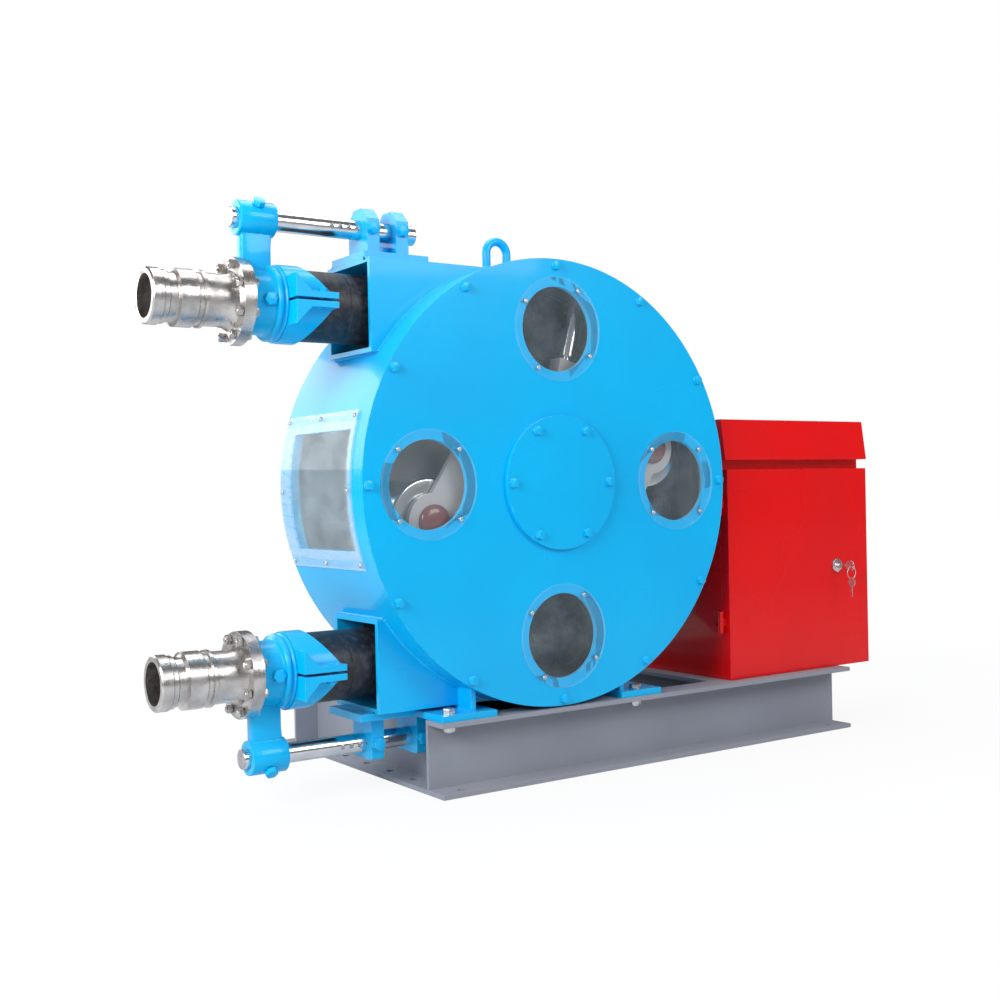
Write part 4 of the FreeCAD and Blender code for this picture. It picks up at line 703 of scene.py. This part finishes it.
def islands(node):
    """The (low, high) box of each separate solid in a design node."""
    bm = bmesh.new()
    bm.from_mesh(frame["nodes"][node].data)
    bmesh.ops.remove_doubles(bm, verts=bm.verts, dist=1e-6)
    left = set(bm.verts)
    boxes = []
    while left:
        stack = [left.pop()]
        found = []
        while stack:
            v = stack.pop()
            found.append(v.co.copy())
            for e in v.link_edges:
                other = e.other_vert(v)
                if other in left:
                    left.discard(other)
                    stack.append(other)
        low = Vector(map(min, zip(*found)))
        high = Vector(map(max, zip(*found)))
        boxes.append((low, high))
    bm.free()
    return sorted(boxes, key=lambda b: (round(b[0].x, 4), round(b[0].z, 4), round(b[0].y, 4)))


print("cover bolts", len(islands("cover_bolts")), "window screws", len(islands("window_screws")))

# %% [markdown]
# The cover's bolts are sprayed over with the casing.  Each is turned a little differently, as a
# spanner leaves them.

# %% Cover bolts
random.seed(7)
bm = bmesh.new()
for low, high in islands("cover_bolts"):
    seat = Vector(((low.x + high.x) / 2, low.y + M12_HEAD_H, (low.z + high.z) / 2))
    stamp(bm, M12_HEAD, aimed(seat, (0, -1, 0), random.uniform(0, math.pi / 3)))
make_piece("painted_cover_bolts", bm, "root", "casing_blue", ["cover_bolts"])

# %% [markdown]
# A bolt's solid is longer than a nut's, and that tells the two apart.  The feet are held by zinc
# plated bolts, with their heads up and their nuts under the channel's flange.

# %% Foot bolts
FOOT_BOLT_OVER = 0.02
bm = bmesh.new()
for low, high in islands("foot_bolts"):
    centre = (low + high) / 2
    turn = random.uniform(0, 1)
    if high.z - low.z > FOOT_BOLT_OVER:
        stamp(bm, M16_HEAD, aimed((centre.x, centre.y, high.z - M16_HEAD_H), (0, 0, 1), turn))
    else:
        stamp(bm, M16_NUT, aimed((centre.x, centre.y, high.z), (0, 0, -1), turn))
make_piece("zinc_foot_bolts", bm, "root", "zinc_steel", ["foot_bolts"])

# %% [markdown]
# The flange bolts are stainless, with the nut on the adapter's side.  The clamp bolts and lock screws
# were painted with the castings, and each one's place about the hose says which of them it is.

# %% Bolts of the two carriages
BOSS_R, BODY_R = 0.036, 0.066
FLANGE_BOLT_OVER, CLAMP_BOLT_OVER, LEVEL_WITH_HOSE = 0.015, 0.035, 0.03

for port in ("outlet", "inlet"):
    bm = bmesh.new()
    for low, high in islands(port + "_flange_bolts"):
        centre = (low + high) / 2
        turn = random.uniform(0, 1)
        if high.x - low.x > FLANGE_BOLT_OVER:
            stamp(bm, M12_HEAD, aimed((high.x - M12_HEAD_H, centre.y, centre.z), (1, 0, 0), turn))
        else:
            stamp(bm, M12_NUT, aimed((high.x, centre.y, centre.z), (-1, 0, 0), turn))
    make_piece(port + "_stainless_bolts", bm, port + "_carriage", "stainless", [port + "_flange_bolts"])

    bm = bmesh.new()
    sign = 1 if port == "outlet" else -1
    clamp_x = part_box(port + "_hose_clamp")[0].x
    for low, high in islands(port + "_clamp_bolts"):
        centre = (low + high) / 2
        turn = random.uniform(0, 1)
        end = high.z if sign > 0 else low.z
        if centre.x > clamp_x and high.z - low.z > CLAMP_BOLT_OVER:
            seat = (centre.x, centre.y, end - sign * M12_HEAD_H)
            stamp(bm, M12_HEAD, aimed(seat, (0, 0, sign), turn))
        elif centre.x > clamp_x:
            stamp(bm, M12_NUT, aimed((centre.x, centre.y, end), (0, 0, -sign), turn))
        elif abs(centre.z - PORTS[port]) < LEVEL_WITH_HOSE:
            stamp(bm, M16_SET, aimed((centre.x, HOSE_Y - BODY_R, centre.z), (0, -1, 0), turn))
        else:
            slant = Vector((0, -1, sign)).normalized()
            boss_at = Vector((centre.x, HOSE_Y, middle(port + "_tension_rod").z))
            stamp(bm, M16_SET, aimed(boss_at + slant * BOSS_R, slant, turn))
    make_piece(port + "_painted_bolts", bm, port + "_carriage", "casing_blue", [port + "_clamp_bolts"])

bm = bmesh.new()
for low, high in islands("bracket_lock_bolts"):
    centre = (low + high) / 2
    seat = (centre.x, low.y + M16_HEAD_H, centre.z)
    stamp(bm, M16_HEAD, aimed(seat, (0, -1, 0), random.uniform(0, 1)))
make_piece("painted_lock_bolts", bm, "root", "casing_blue", ["bracket_lock_bolts"])

# %% [markdown]
# The window screws are small and there are two dozen of them, so their template has few faces.  The
# screws of the curved sheet point straight out from the drum, so each one's direction comes from its
# place about the shaft.

# %% Window screws
PANE_SCREW_H, SIDE_PANE_T = 0.0033, 0.004
bm = bmesh.new()
for low, high in islands("window_screws"):
    centre = (low + high) / 2
    if low.y < FRONT_Y:
        seat = (centre.x, low.y + PANE_SCREW_H, centre.z)
        stamp(bm, M6_SCREW, aimed(seat, (0, -1, 0), random.uniform(0, 3)))
    else:
        out = Vector((centre.x - SHAFT.x, 0, centre.z - SHAFT.z)).normalized()
        seat = Vector((SHAFT.x, centre.y, SHAFT.z)) + out * (DRUM_R + SIDE_PANE_T)
        stamp(bm, M6_SCREW, aimed(seat, out, random.uniform(0, 3)))
make_piece("steel_window_screws", bm, "root", "zinc_steel", ["window_screws"])

# %% [markdown]
# The drive at the back is bolted together too: the gearbox's lid and the bearing housing's flange
# each carry a ring of painted bolts, a filler plug stands on the gearbox, and small screws close the
# motor's terminal box.  A ring of bolts is one loop over angles.

# %% Drive fasteners
GEAR_RING_R, BEARING_RING_R, BEARING_FLANGE_T, RING_BOLTS = 0.148, 0.130, 0.020, 8
SCREW_FROM_MIDDLE = 0.050


def bolt_ring(bm, template, radius, y):
    for k in range(RING_BOLTS):
        a = math.tau * (k + 0.5) / RING_BOLTS
        at = (SHAFT.x + radius * math.cos(a), y, SHAFT.z + radius * math.sin(a))
        stamp(bm, template, aimed(at, (0, 1, 0), random.uniform(0, 1)))


bm = bmesh.new()
gear_low, gear_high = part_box("gearbox_housing")
bolt_ring(bm, M12_HEAD, GEAR_RING_R, gear_high.y)
bolt_ring(bm, M16_HEAD, BEARING_RING_R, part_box("casing_back_plate")[1].y + BEARING_FLANGE_T)
stamp(bm, M16_HEAD, aimed((SHAFT.x, (gear_low.y + gear_high.y) / 2, gear_high.z), (0, 0, 1)))
make_piece("painted_drive_bolts", bm, "root", "drive_paint")

box_top = middle("motor_body")
box_top.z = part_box("motor_body")[1].z
bm = bmesh.new()
for dx, dy in ((-1, -1), (-1, 1), (1, -1), (1, 1)):
    seat = box_top + Vector((dx, dy, 0)) * SCREW_FROM_MIDDLE
    stamp(bm, M6_SCREW, aimed(seat, (0, 0, 1)))
make_piece("terminal_box_screws", bm, "root", "zinc_steel")

# %% [markdown]
# ## Sweeping a section along a path
# Hoses, weld beads and rings are one section carried along a path.  A circle is extruded again and
# again, and each new ring is moved, turned and scaled to the next station of the path.  Every ring
# also stores where it is round and along the path, for materials that follow the surface.

# %% Sweep helpers


def sweep(stations, segments, caps=True):
    """Carries a unit circle through a list of matrices, whose scales are the section's half sizes."""
    bm = bmesh.new()
    layer = bm.verts.layers.float_vector.new("hose_run")
    first = bmesh.ops.create_circle(bm, cap_ends=caps, segments=segments, radius=1.0, matrix=stations[0])
    ring = first["verts"]
    edges = list({e for v in ring for e in v.link_edges})
    along = 0.0
    for k, here in enumerate(stations):
        if k:
            made = bmesh.ops.extrude_edge_only(bm, edges=edges)["geom"]
            ring = [g for g in made if isinstance(g, bmesh.types.BMVert)]
            edges = [g for g in made if isinstance(g, bmesh.types.BMEdge)]
            edges = [e for e in edges if all(v in ring for v in e.verts)]
            bmesh.ops.transform(bm, matrix=here @ stations[k - 1].inverted(), verts=ring)
            along += (here.translation - stations[k - 1].translation).length
        back = here.inverted()
        for v in ring:
            local = back @ v.co
            v[layer] = (local.x, local.y, along)
    if caps:
        bmesh.ops.edgeloop_fill(bm, edges=edges)
    bmesh.ops.recalc_face_normals(bm, faces=bm.faces)
    return bm


def station(at, across, side, half_across, half_side):
    """A matrix whose X runs across, whose Y runs sideways and whose Z runs along the path."""
    across, side = Vector(across).normalized(), Vector(side).normalized()
    axes = Matrix((across, side, across.cross(side))).transposed().to_4x4()
    return Matrix.Translation(at) @ axes @ Matrix.Diagonal((half_across, half_side, 1, 1))


def ease(bm, offset, segments=2, angle=30):
    """Bevels every edge that is sharper than the angle."""
    sharp = [e for e in bm.edges if len(e.link_faces) == 2 and e.calc_face_angle() > math.radians(angle)]
    bmesh.ops.bevel(bm, geom=sharp, offset=offset, offset_type="OFFSET", segments=segments, profile=0.5,
                    affect="EDGES", clamp_overlap=True, material=-1)


def about_shaft(radius, degrees, y):
    a = math.radians(degrees)
    return Vector((SHAFT.x + radius * math.cos(a), y, SHAFT.z + radius * math.sin(a)))


def outward(degrees):
    a = math.radians(degrees)
    return Vector((math.cos(a), 0, math.sin(a)))


print("sweep helpers ready")

# %% [markdown]
# ## The hose
# One hose runs in at the lower port, round the drum against its rubber bed, and out at the top.  The
# right press roller pinches it flat: its thickness falls to two walls while its girth stays the same,
# so it spreads sideways.  It is made as two halves that meet under the roller, one for each port; on
# the real pump each outer end is pulled by its own carriage when the hose is tensioned.

# %% Hose halves
HOSE_OD, HOSE_BORE = 0.150, 0.100
OD_PINCHED, BORE_PINCHED = 0.0432, 0.002
PINCH_AT, PINCH_SPREAD = 14.5, 35.0
HOSE_OUTER = HOSE_ORBIT + HOSE_OD / 2
BENDS, STRAIGHTS, ROUND_STEPS = 44, 26, 56


def hose_section(degrees, sign, round_d, flat_d):
    off = min(1.0, abs(degrees - PINCH_AT) / PINCH_SPREAD)
    squeeze = math.cos(math.pi / 2 * off) ** 2
    outer_thick = HOSE_OD - (HOSE_OD - OD_PINCHED) * squeeze
    thick = round_d - (round_d - flat_d) * squeeze
    wide = math.pi * (round_d - thick) / 2 + thick
    at = about_shaft(HOSE_OUTER - outer_thick / 2, degrees, HOSE_Y)
    return station(at, outward(degrees), (0, sign, 0), thick / 2, wide / 2)


def hose_stations(sign, end_x, round_d, flat_d):
    stations = []
    for k in range(BENDS + 1):
        degrees = PINCH_AT + (sign * 90 - PINCH_AT) * k / BENDS
        stations.append(hose_section(degrees, sign, round_d, flat_d))
    for k in range(1, STRAIGHTS + 1):
        x = SHAFT.x + (end_x - SHAFT.x) * k / STRAIGHTS
        at = (x, HOSE_Y, SHAFT.z + sign * HOSE_ORBIT)
        stations.append(station(at, (0, 0, sign), (0, sign, 0), round_d / 2, round_d / 2))
    return stations


for port, sign in (("outlet", 1), ("inlet", -1)):
    end_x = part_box(port + "_hose_clamp")[0].x + 0.0004
    bm = sweep(hose_stations(sign, end_x, HOSE_OD, OD_PINCHED), ROUND_STEPS, caps=False)
    merge(bm, sweep(hose_stations(sign, end_x, HOSE_BORE, BORE_PINCHED), ROUND_STEPS, caps=False))
    for at_end in (False, True):
        rim = [e for e in bm.edges if e.is_boundary and (e.verts[0].co.x < end_x + 0.01) == at_end]
        bmesh.ops.bridge_loops(bm, edges=rim)
    bmesh.ops.recalc_face_normals(bm, faces=bm.faces)
    half = make_piece(port + "_hose_half", bm, None, "hose_rubber", ["hose"])
    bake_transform(half)

# %% [markdown]
# The bed is a moulded rubber lining on the right half of the drum, which the rollers press the hose
# against.  A small rectangle spun half a turn about the shaft makes it, with eased lips.

# %% Hose bed
low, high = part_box("hose_bed")
BED_OUT = high.x - SHAFT.x
BED_T = 0.0223
bm = bmesh.new()
corners = [bm.verts.new((SHAFT.x, y, SHAFT.z - r)) for r, y in
           ((BED_OUT, low.y), (BED_OUT, high.y), (BED_OUT - BED_T, high.y), (BED_OUT - BED_T, low.y))]
section = bm.faces.new(corners)
bmesh.ops.spin(bm, geom=[section], axis=(0, -1, 0), cent=SHAFT, angle=math.pi, steps=64,
               use_duplicate=False)
bmesh.ops.remove_doubles(bm, verts=bm.verts, dist=1e-6)
bmesh.ops.recalc_face_normals(bm, faces=bm.faces)
ease(bm, 0.003)
make_piece("rubber_hose_bed", bm, "root", "bed_rubber", ["hose_bed"])
print("bed radius", round(BED_OUT, 4))

# %% [markdown]
# ## Stainless fittings
# The sleeve inside the hose ends in a flange, and a cam-lever adapter is bolted to it.  Both are
# turned parts, so each is a lathe profile: the adapter has an end ring, a deep groove for the levers'
# cams, a wide band, a waist and a weld neck that runs into its flange.

# %% Turned profiles
BORE_R = 0.044
FLANGE_R, FLANGE_T = 0.090, 0.0125
NECK_END = 0.175
ADAPTER = [
    (BORE_R, 0.0), (0.0535, 0.0), (0.0565, 0.0030), (0.0565, 0.0235), (0.0535, 0.0260),
    (0.0535, 0.0350), (0.0500, 0.0380), (0.0500, 0.0530), (0.0535, 0.0550), (0.0585, 0.0568),
    (0.0585, 0.0930), (0.0560, 0.0955), (0.0535, 0.0970), (0.0535, 0.1050), (0.0585, 0.1065),
    (0.0585, 0.1135), (0.0540, 0.1160), (0.0535, 0.1500), (0.0560, 0.1630), (0.0620, NECK_END),
    (FLANGE_R, NECK_END), (FLANGE_R, NECK_END + FLANGE_T), (BORE_R, NECK_END + FLANGE_T),
]
SLEEVE_START = NECK_END + FLANGE_T
SLEEVE_END = (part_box("outlet_fittings")[1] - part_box("outlet_fittings")[0]).x
SLEEVE_R = 0.0495
SLEEVE = [
    (BORE_R, SLEEVE_START), (FLANGE_R, SLEEVE_START), (FLANGE_R, SLEEVE_START + FLANGE_T),
    (SLEEVE_R, SLEEVE_START + FLANGE_T), (SLEEVE_R, SLEEVE_END - 0.010), (SLEEVE_R - 0.002, SLEEVE_END),
    (BORE_R, SLEEVE_END),
]

for port in ("outlet", "inlet"):
    bm = bmesh.new()
    for profile in (ADAPTER, SLEEVE):
        merge(bm, lathe(profile, 64, closed=True))
    point(bm, (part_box(port + "_fittings")[0].x, HOSE_Y, PORTS[port]), (1, 0, 0))
    make_piece(port + "_turned_fittings", bm, port + "_carriage", "stainless", [port + "_fittings"])

# %% [markdown]
# ## Coupling castings
# The painted casting holds the sleeve, ends in a beaded collar against the hose clamp, and reaches up
# through an arm to the boss that is locked on the tension rod.  Two lathe shapes make the round parts.
# The arm is an outline that is extruded and then eased all round, which gives a cast look.

# %% Couplings
ROD_R, COLLAR_R, BEAD_R = 0.021, 0.0785, 0.0745
BODY_L, COLLAR_L, BOSS_L, ARM_T = 0.053, 0.022, 0.080, 0.030
STUB = 0.006
BODY_PROFILE = [
    (SLEEVE_R, 0.0), (BODY_R - 0.002, 0.0), (BODY_R, 0.002), (BODY_R, BODY_L - 0.008),
    (BODY_R + 0.003, BODY_L - 0.002), (COLLAR_R - 0.003, BODY_L), (COLLAR_R, BODY_L + 0.003),
    (COLLAR_R, BODY_L + 0.010), (BEAD_R, BODY_L + 0.0125), (BEAD_R, BODY_L + 0.015),
    (COLLAR_R, BODY_L + 0.0175), (COLLAR_R, BODY_L + COLLAR_L), (SLEEVE_R, BODY_L + COLLAR_L),
]
BOSS_PROFILE = [(ROD_R, 0.0), (BOSS_R, 0.0), (BOSS_R, BOSS_L), (ROD_R, BOSS_L)]

for port, sign in (("outlet", 1), ("inlet", -1)):
    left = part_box(port + "_coupling")[1].x - COLLAR_L - BODY_L
    rod = middle(port + "_tension_rod").z
    bm = bmesh.new()
    for profile, x, z in ((BODY_PROFILE, left, PORTS[port]), (BOSS_PROFILE, left - STUB, rod)):
        round_part = lathe(profile, 64, closed=True)
        ease(round_part, 0.0014)
        point(round_part, (x, HOSE_Y, z), (1, 0, 0))
        merge(bm, round_part)
    reach = abs(rod - PORTS[port])
    foot, edge = BODY_R - 0.008, BOSS_L - 2 * STUB
    outline = [(0.0005, reach - 0.024), (0.0005, foot), (edge - 0.003, foot), (edge - 0.003, reach - 0.060),
               (edge, reach - 0.024)]
    arm = bmesh.new()
    front = HOSE_Y - ARM_T / 2
    corners = [arm.verts.new((left + x, front, PORTS[port] + sign * z)) for x, z in outline]
    arm.faces.new(corners)
    thicken(arm, (0, ARM_T, 0))
    bmesh.ops.recalc_face_normals(arm, faces=arm.faces)
    ease(arm, 0.004, 3)
    merge(bm, arm)
    make_piece(port + "_cast_coupling", bm, port + "_carriage", "casing_blue", [port + "_coupling"])

# %% [markdown]
# The rods are ground bright along their length, but their ends were only faced in a lathe.  A thin
# eased disc covers each end with the duller finish.

# %% Rod ends
END_T = 0.0012
for port in ("outlet", "inlet"):
    rod_end = middle(port + "_tension_rod")
    rod_end.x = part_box(port + "_tension_rod")[0].x
    bm = lathe([(0, 0), (ROD_R, 0), (ROD_R - 0.001, END_T), (0, END_T)], 48)
    point(bm, rod_end, (-1, 0, 0))
    make_piece(port + "_rod_end", bm, port + "_carriage", "machined_steel")

# %% [markdown]
# ## Rotor details
# Domed caps close the roller axles.  The rollers themselves are ground tubes with eased rims, so a
# lathe ring stands for each.

# %% Axle caps
CAP_R, CAP_H = 0.038, 0.016
CAP_PROFILE = [(0, 0), (CAP_R, 0), (CAP_R, 0.005), (0.036, 0.0085), (0.031, 0.0120),
               (0.022, 0.0148), (0.010, 0.0158), (0, CAP_H)]
bm = bmesh.new()
for low, high in islands("axle_caps"):
    centre = (low + high) / 2
    front = centre.y < HOSE_Y
    cap = lathe(CAP_PROFILE, 40)
    seat = (centre.x, high.y if front else low.y, centre.z)
    point(cap, seat, (0, -1 if front else 1, 0))
    merge(bm, cap)
make_piece("domed_axle_caps", bm, "rotor", "red_oxide", ["axle_caps"])

# %% Press rollers
AXLE_HOLE_R, RIM = 0.03005, 0.004
for name in ("press_roller_a", "press_roller_b"):
    low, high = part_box(name)
    outer = (high.x - low.x) / 2
    deep = high.y - low.y
    bm = lathe([(AXLE_HOLE_R, 0), (outer - RIM, 0), (outer, RIM), (outer, deep - RIM),
                (outer - RIM, deep), (AXLE_HOLE_R, deep)], 96, closed=True)
    ease(bm, 0.0015)
    centre = (low + high) / 2
    point(bm, (centre.x, low.y, centre.z), (0, 1, 0))
    make_piece("ground_" + name, bm, name, "polished_steel", [name])

# %% [markdown]
# ## Lifting eye
# A round bar bent to an upside-down U and welded to a small pad.  The section is swept up one leg,
# round the bend and down the other.

# %% Lifting eye
low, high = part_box("lifting_eye")
EYE_R, BEND_R, PAD_RISE, LEG_SUNK, BEND_STEPS = 0.010, 0.029, 0.008, 0.002, 24
eye_at = (low + high) / 2
pad_top = SHAFT.z + DRUM_R + PAD_RISE
bend_at = Vector((eye_at.x, eye_at.y, high.z - BEND_R - EYE_R))
path = [(-1, 0, Vector((eye_at.x - BEND_R, eye_at.y, pad_top - LEG_SUNK)))]
for k in range(BEND_STEPS + 1):
    a = math.pi - math.pi * k / BEND_STEPS
    path.append((math.cos(a), math.sin(a), bend_at + Vector((math.cos(a), 0, math.sin(a))) * BEND_R))
path.append((1, 0, Vector((eye_at.x + BEND_R, eye_at.y, pad_top - LEG_SUNK))))
bm = sweep([station(at, (x, 0, z), (0, -1, 0), EYE_R, EYE_R) for x, z, at in path], 24)
pad = bmesh.new()
pad_at = Matrix.Translation((eye_at.x, eye_at.y, (low.z + pad_top) / 2))
pad_size = Matrix.Diagonal((high.x - low.x, high.y - low.y, pad_top - low.z, 1))
bmesh.ops.create_cube(pad, size=1.0, matrix=pad_at @ pad_size)
ease(pad, 0.002)
merge(bm, pad)
make_piece("bent_lifting_eye", bm, "root", "casing_blue", ["lifting_eye"])

# %% [markdown]
# ## Weld beads
# The port boxes, brackets and feet are welded to the drum.  A bead is a slightly lumpy half-sunk rod
# along each joint: its section swells and shrinks as the welder's hand moved, so every station of the
# sweep has a random size.

# %% Weld beads
BEAD_SIZE, BEAD_STEP = 0.0045, 0.005
INLET_WELD_END = SHAFT.x - 0.332
random.seed(21)


def bead(points, across):
    """A lumpy rod through the points, closely divided."""
    path = []
    for a, b in zip(points, points[1:]):
        count = max(1, round((Vector(b) - Vector(a)).length / BEAD_STEP))
        path += [Vector(a).lerp(Vector(b), k / count) for k in range(count)]
    path.append(Vector(points[-1]))
    stations = []
    for k, p in enumerate(path):
        along = (path[min(k + 1, len(path) - 1)] - path[max(k - 1, 0)]).normalized()
        side = Vector(across).cross(along)
        r = BEAD_SIZE * random.uniform(0.80, 1.12)
        stations.append(station(p, side.cross(along), side, r, r))
    return sweep(stations, 8)


def arc(start, end, y, count=24):
    return [about_shaft(DRUM_R, start + (end - start) * k / count, y) for k in range(count + 1)]


weld_bm = bmesh.new()
for port, sign in (("outlet", 1), ("inlet", -1)):
    low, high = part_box(port + "_port_box")
    inner_z, outer_z = sorted((abs(low.z - SHAFT.z), abs(high.z - SHAFT.z)))
    first = 180 - math.degrees(math.asin(inner_z / DRUM_R))
    last = 180 - math.degrees(math.asin(min(outer_z, DRUM_R) / DRUM_R))
    for y in (low.y, high.y):
        merge(weld_bm, bead(arc(sign * first, sign * last, y), (0, 1, 0)))
    x = SHAFT.x - math.sqrt(DRUM_R ** 2 - inner_z ** 2)
    z = SHAFT.z + sign * inner_z
    merge(weld_bm, bead([(x, low.y, z), (x, high.y, z)], (0, 0, 1)))
low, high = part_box("outlet_rod_bracket")
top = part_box("outlet_port_box")[1].z
for y in (low.y, high.y):
    merge(weld_bm, bead([(low.x, y, top), (high.x, y, top)], (0, 0, 1)))
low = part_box("inlet_rod_bracket")[0]
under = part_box("inlet_port_box")[0]
start = max(low.x, under.x)
merge(weld_bm, bead([(start, low.y, under.z), (INLET_WELD_END, low.y, under.z)], (0, 0, 1)))
make_piece("casing_weld_beads", weld_bm, "root", "casing_blue", smooth_angle=60)

# %% [markdown]
# ## Lock and keys
# A chromed hexagon rose, a round barrel, and the key standing in it with a ring and a spare key
# hanging from its bow.  A key's bow is a disc with a punched eye, so two circles are bridged and the
# flat ring between them is given its thickness.  The spare's blade is a thin strip, and pushing single
# vertices of one long edge cuts its teeth.

# %% Door lock
ROSE_R, ROSE_T = 0.0196, 0.006
BARREL_R, BARREL_L, BARREL_SUNK, KEYWAY_R = 0.008, 0.036, 0.020, 0.0031
low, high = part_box("door_lock")
lock_at = Vector(((low.x + high.x) / 2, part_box("cabinet_door")[0].y, (low.z + high.z) / 2))
bm = bmesh.new()
bmesh.ops.create_cone(bm, cap_ends=True, segments=6, radius1=ROSE_R, radius2=ROSE_R, depth=ROSE_T,
                      matrix=aimed(lock_at - Vector((0, ROSE_T / 2, 0)), (0, -1, 0)))
ease(bm, 0.0014, 3)
barrel = lathe([(KEYWAY_R, 0), (BARREL_R, 0), (BARREL_R, BARREL_L - 0.002), (0.0068, BARREL_L),
                (0.0045, BARREL_L), (KEYWAY_R, BARREL_L - 0.0015)], 32, closed=True)
point(barrel, lock_at + Vector((0, BARREL_SUNK, 0)), (0, -1, 0))
merge(bm, barrel)
make_piece("chrome_door_lock", bm, "door", "zinc_steel", ["door_lock"])

# %% Key helpers
UPRIGHT = Matrix.Rotation(math.pi / 2, 4, "Y")


def key_bow(radius, eye, thick, at, eye_drop):
    """A disc across X with an off-centre eye, from two circles bridged and given thickness."""
    bm = bmesh.new()
    for r, centre in ((radius, at), (eye, at + eye_drop)):
        bmesh.ops.create_circle(bm, segments=32, radius=r, matrix=Matrix.Translation(centre) @ UPRIGHT)
    bmesh.ops.bridge_loops(bm, edges=bm.edges[:])
    bmesh.ops.translate(bm, verts=bm.verts, vec=(-thick / 2, 0, 0))
    thicken(bm, (thick, 0, 0))
    bmesh.ops.recalc_face_normals(bm, faces=bm.faces)
    ease(bm, 0.0005, 1)
    return bm


def key_ring(at, radius, wire, steps=32):
    stations = []
    for k in range(steps + 1):
        a = math.tau * k / steps
        out = Vector((math.cos(a), 0, math.sin(a)))
        stations.append(station(at + out * radius, out, (0, -1, 0), wire, wire))
    return sweep(stations, 10)


print("key helpers ready")

# %% Keys
STEM_R, STEM_L, STEM_SUNK = 0.003, 0.037, 0.003
BLADE_W, BLADE_L, BLADE_T = 0.007, 0.029, 0.0022
key_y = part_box("lock_key")[0].y
bm = key_bow(0.014, 0.005, 0.003, Vector((lock_at.x, key_y + 0.014, lock_at.z)), Vector((0, -0.004, 0)))
stem = lathe([(0, 0), (STEM_R, 0), (STEM_R, STEM_L - 0.0005), (0, STEM_L)], 16)
point(stem, lock_at + Vector((0, STEM_SUNK, 0)), (0, -1, 0))
merge(bm, stem)
ring_at = Vector((lock_at.x, key_y + 0.010, lock_at.z - 0.018))
merge(bm, key_ring(ring_at, 0.016, 0.0012))
spare_at = ring_at - Vector((0, 0, 0.0257))
merge(bm, key_bow(0.012, 0.0035, 0.0024, spare_at, Vector((0, 0, 0.0085))))
blade = bmesh.new()
blade_at = Matrix.Translation(spare_at - Vector((0, 0, 0.0245)))
blade_turn = UPRIGHT @ Matrix.Rotation(math.pi / 2, 4, "Z") @ Matrix.Diagonal((BLADE_W, BLADE_L, 1, 1))
bmesh.ops.create_grid(blade, x_segments=1, y_segments=14, size=0.5, matrix=blade_at @ blade_turn)
cut_edge = sorted((v for v in blade.verts if v.co.y < spare_at.y), key=lambda v: v.co.z)
for k, v in enumerate(cut_edge[1:-3]):
    v.co.y += (0.0022, 0.0006)[k % 2]
thicken(blade, (BLADE_T, 0, 0))
bmesh.ops.translate(blade, verts=blade.verts, vec=(-BLADE_T / 2, 0, 0))
bmesh.ops.recalc_face_normals(blade, faces=blade.faces)
merge(bm, blade)
make_piece("steel_keys", bm, "key", "zinc_steel", ["lock_key"])
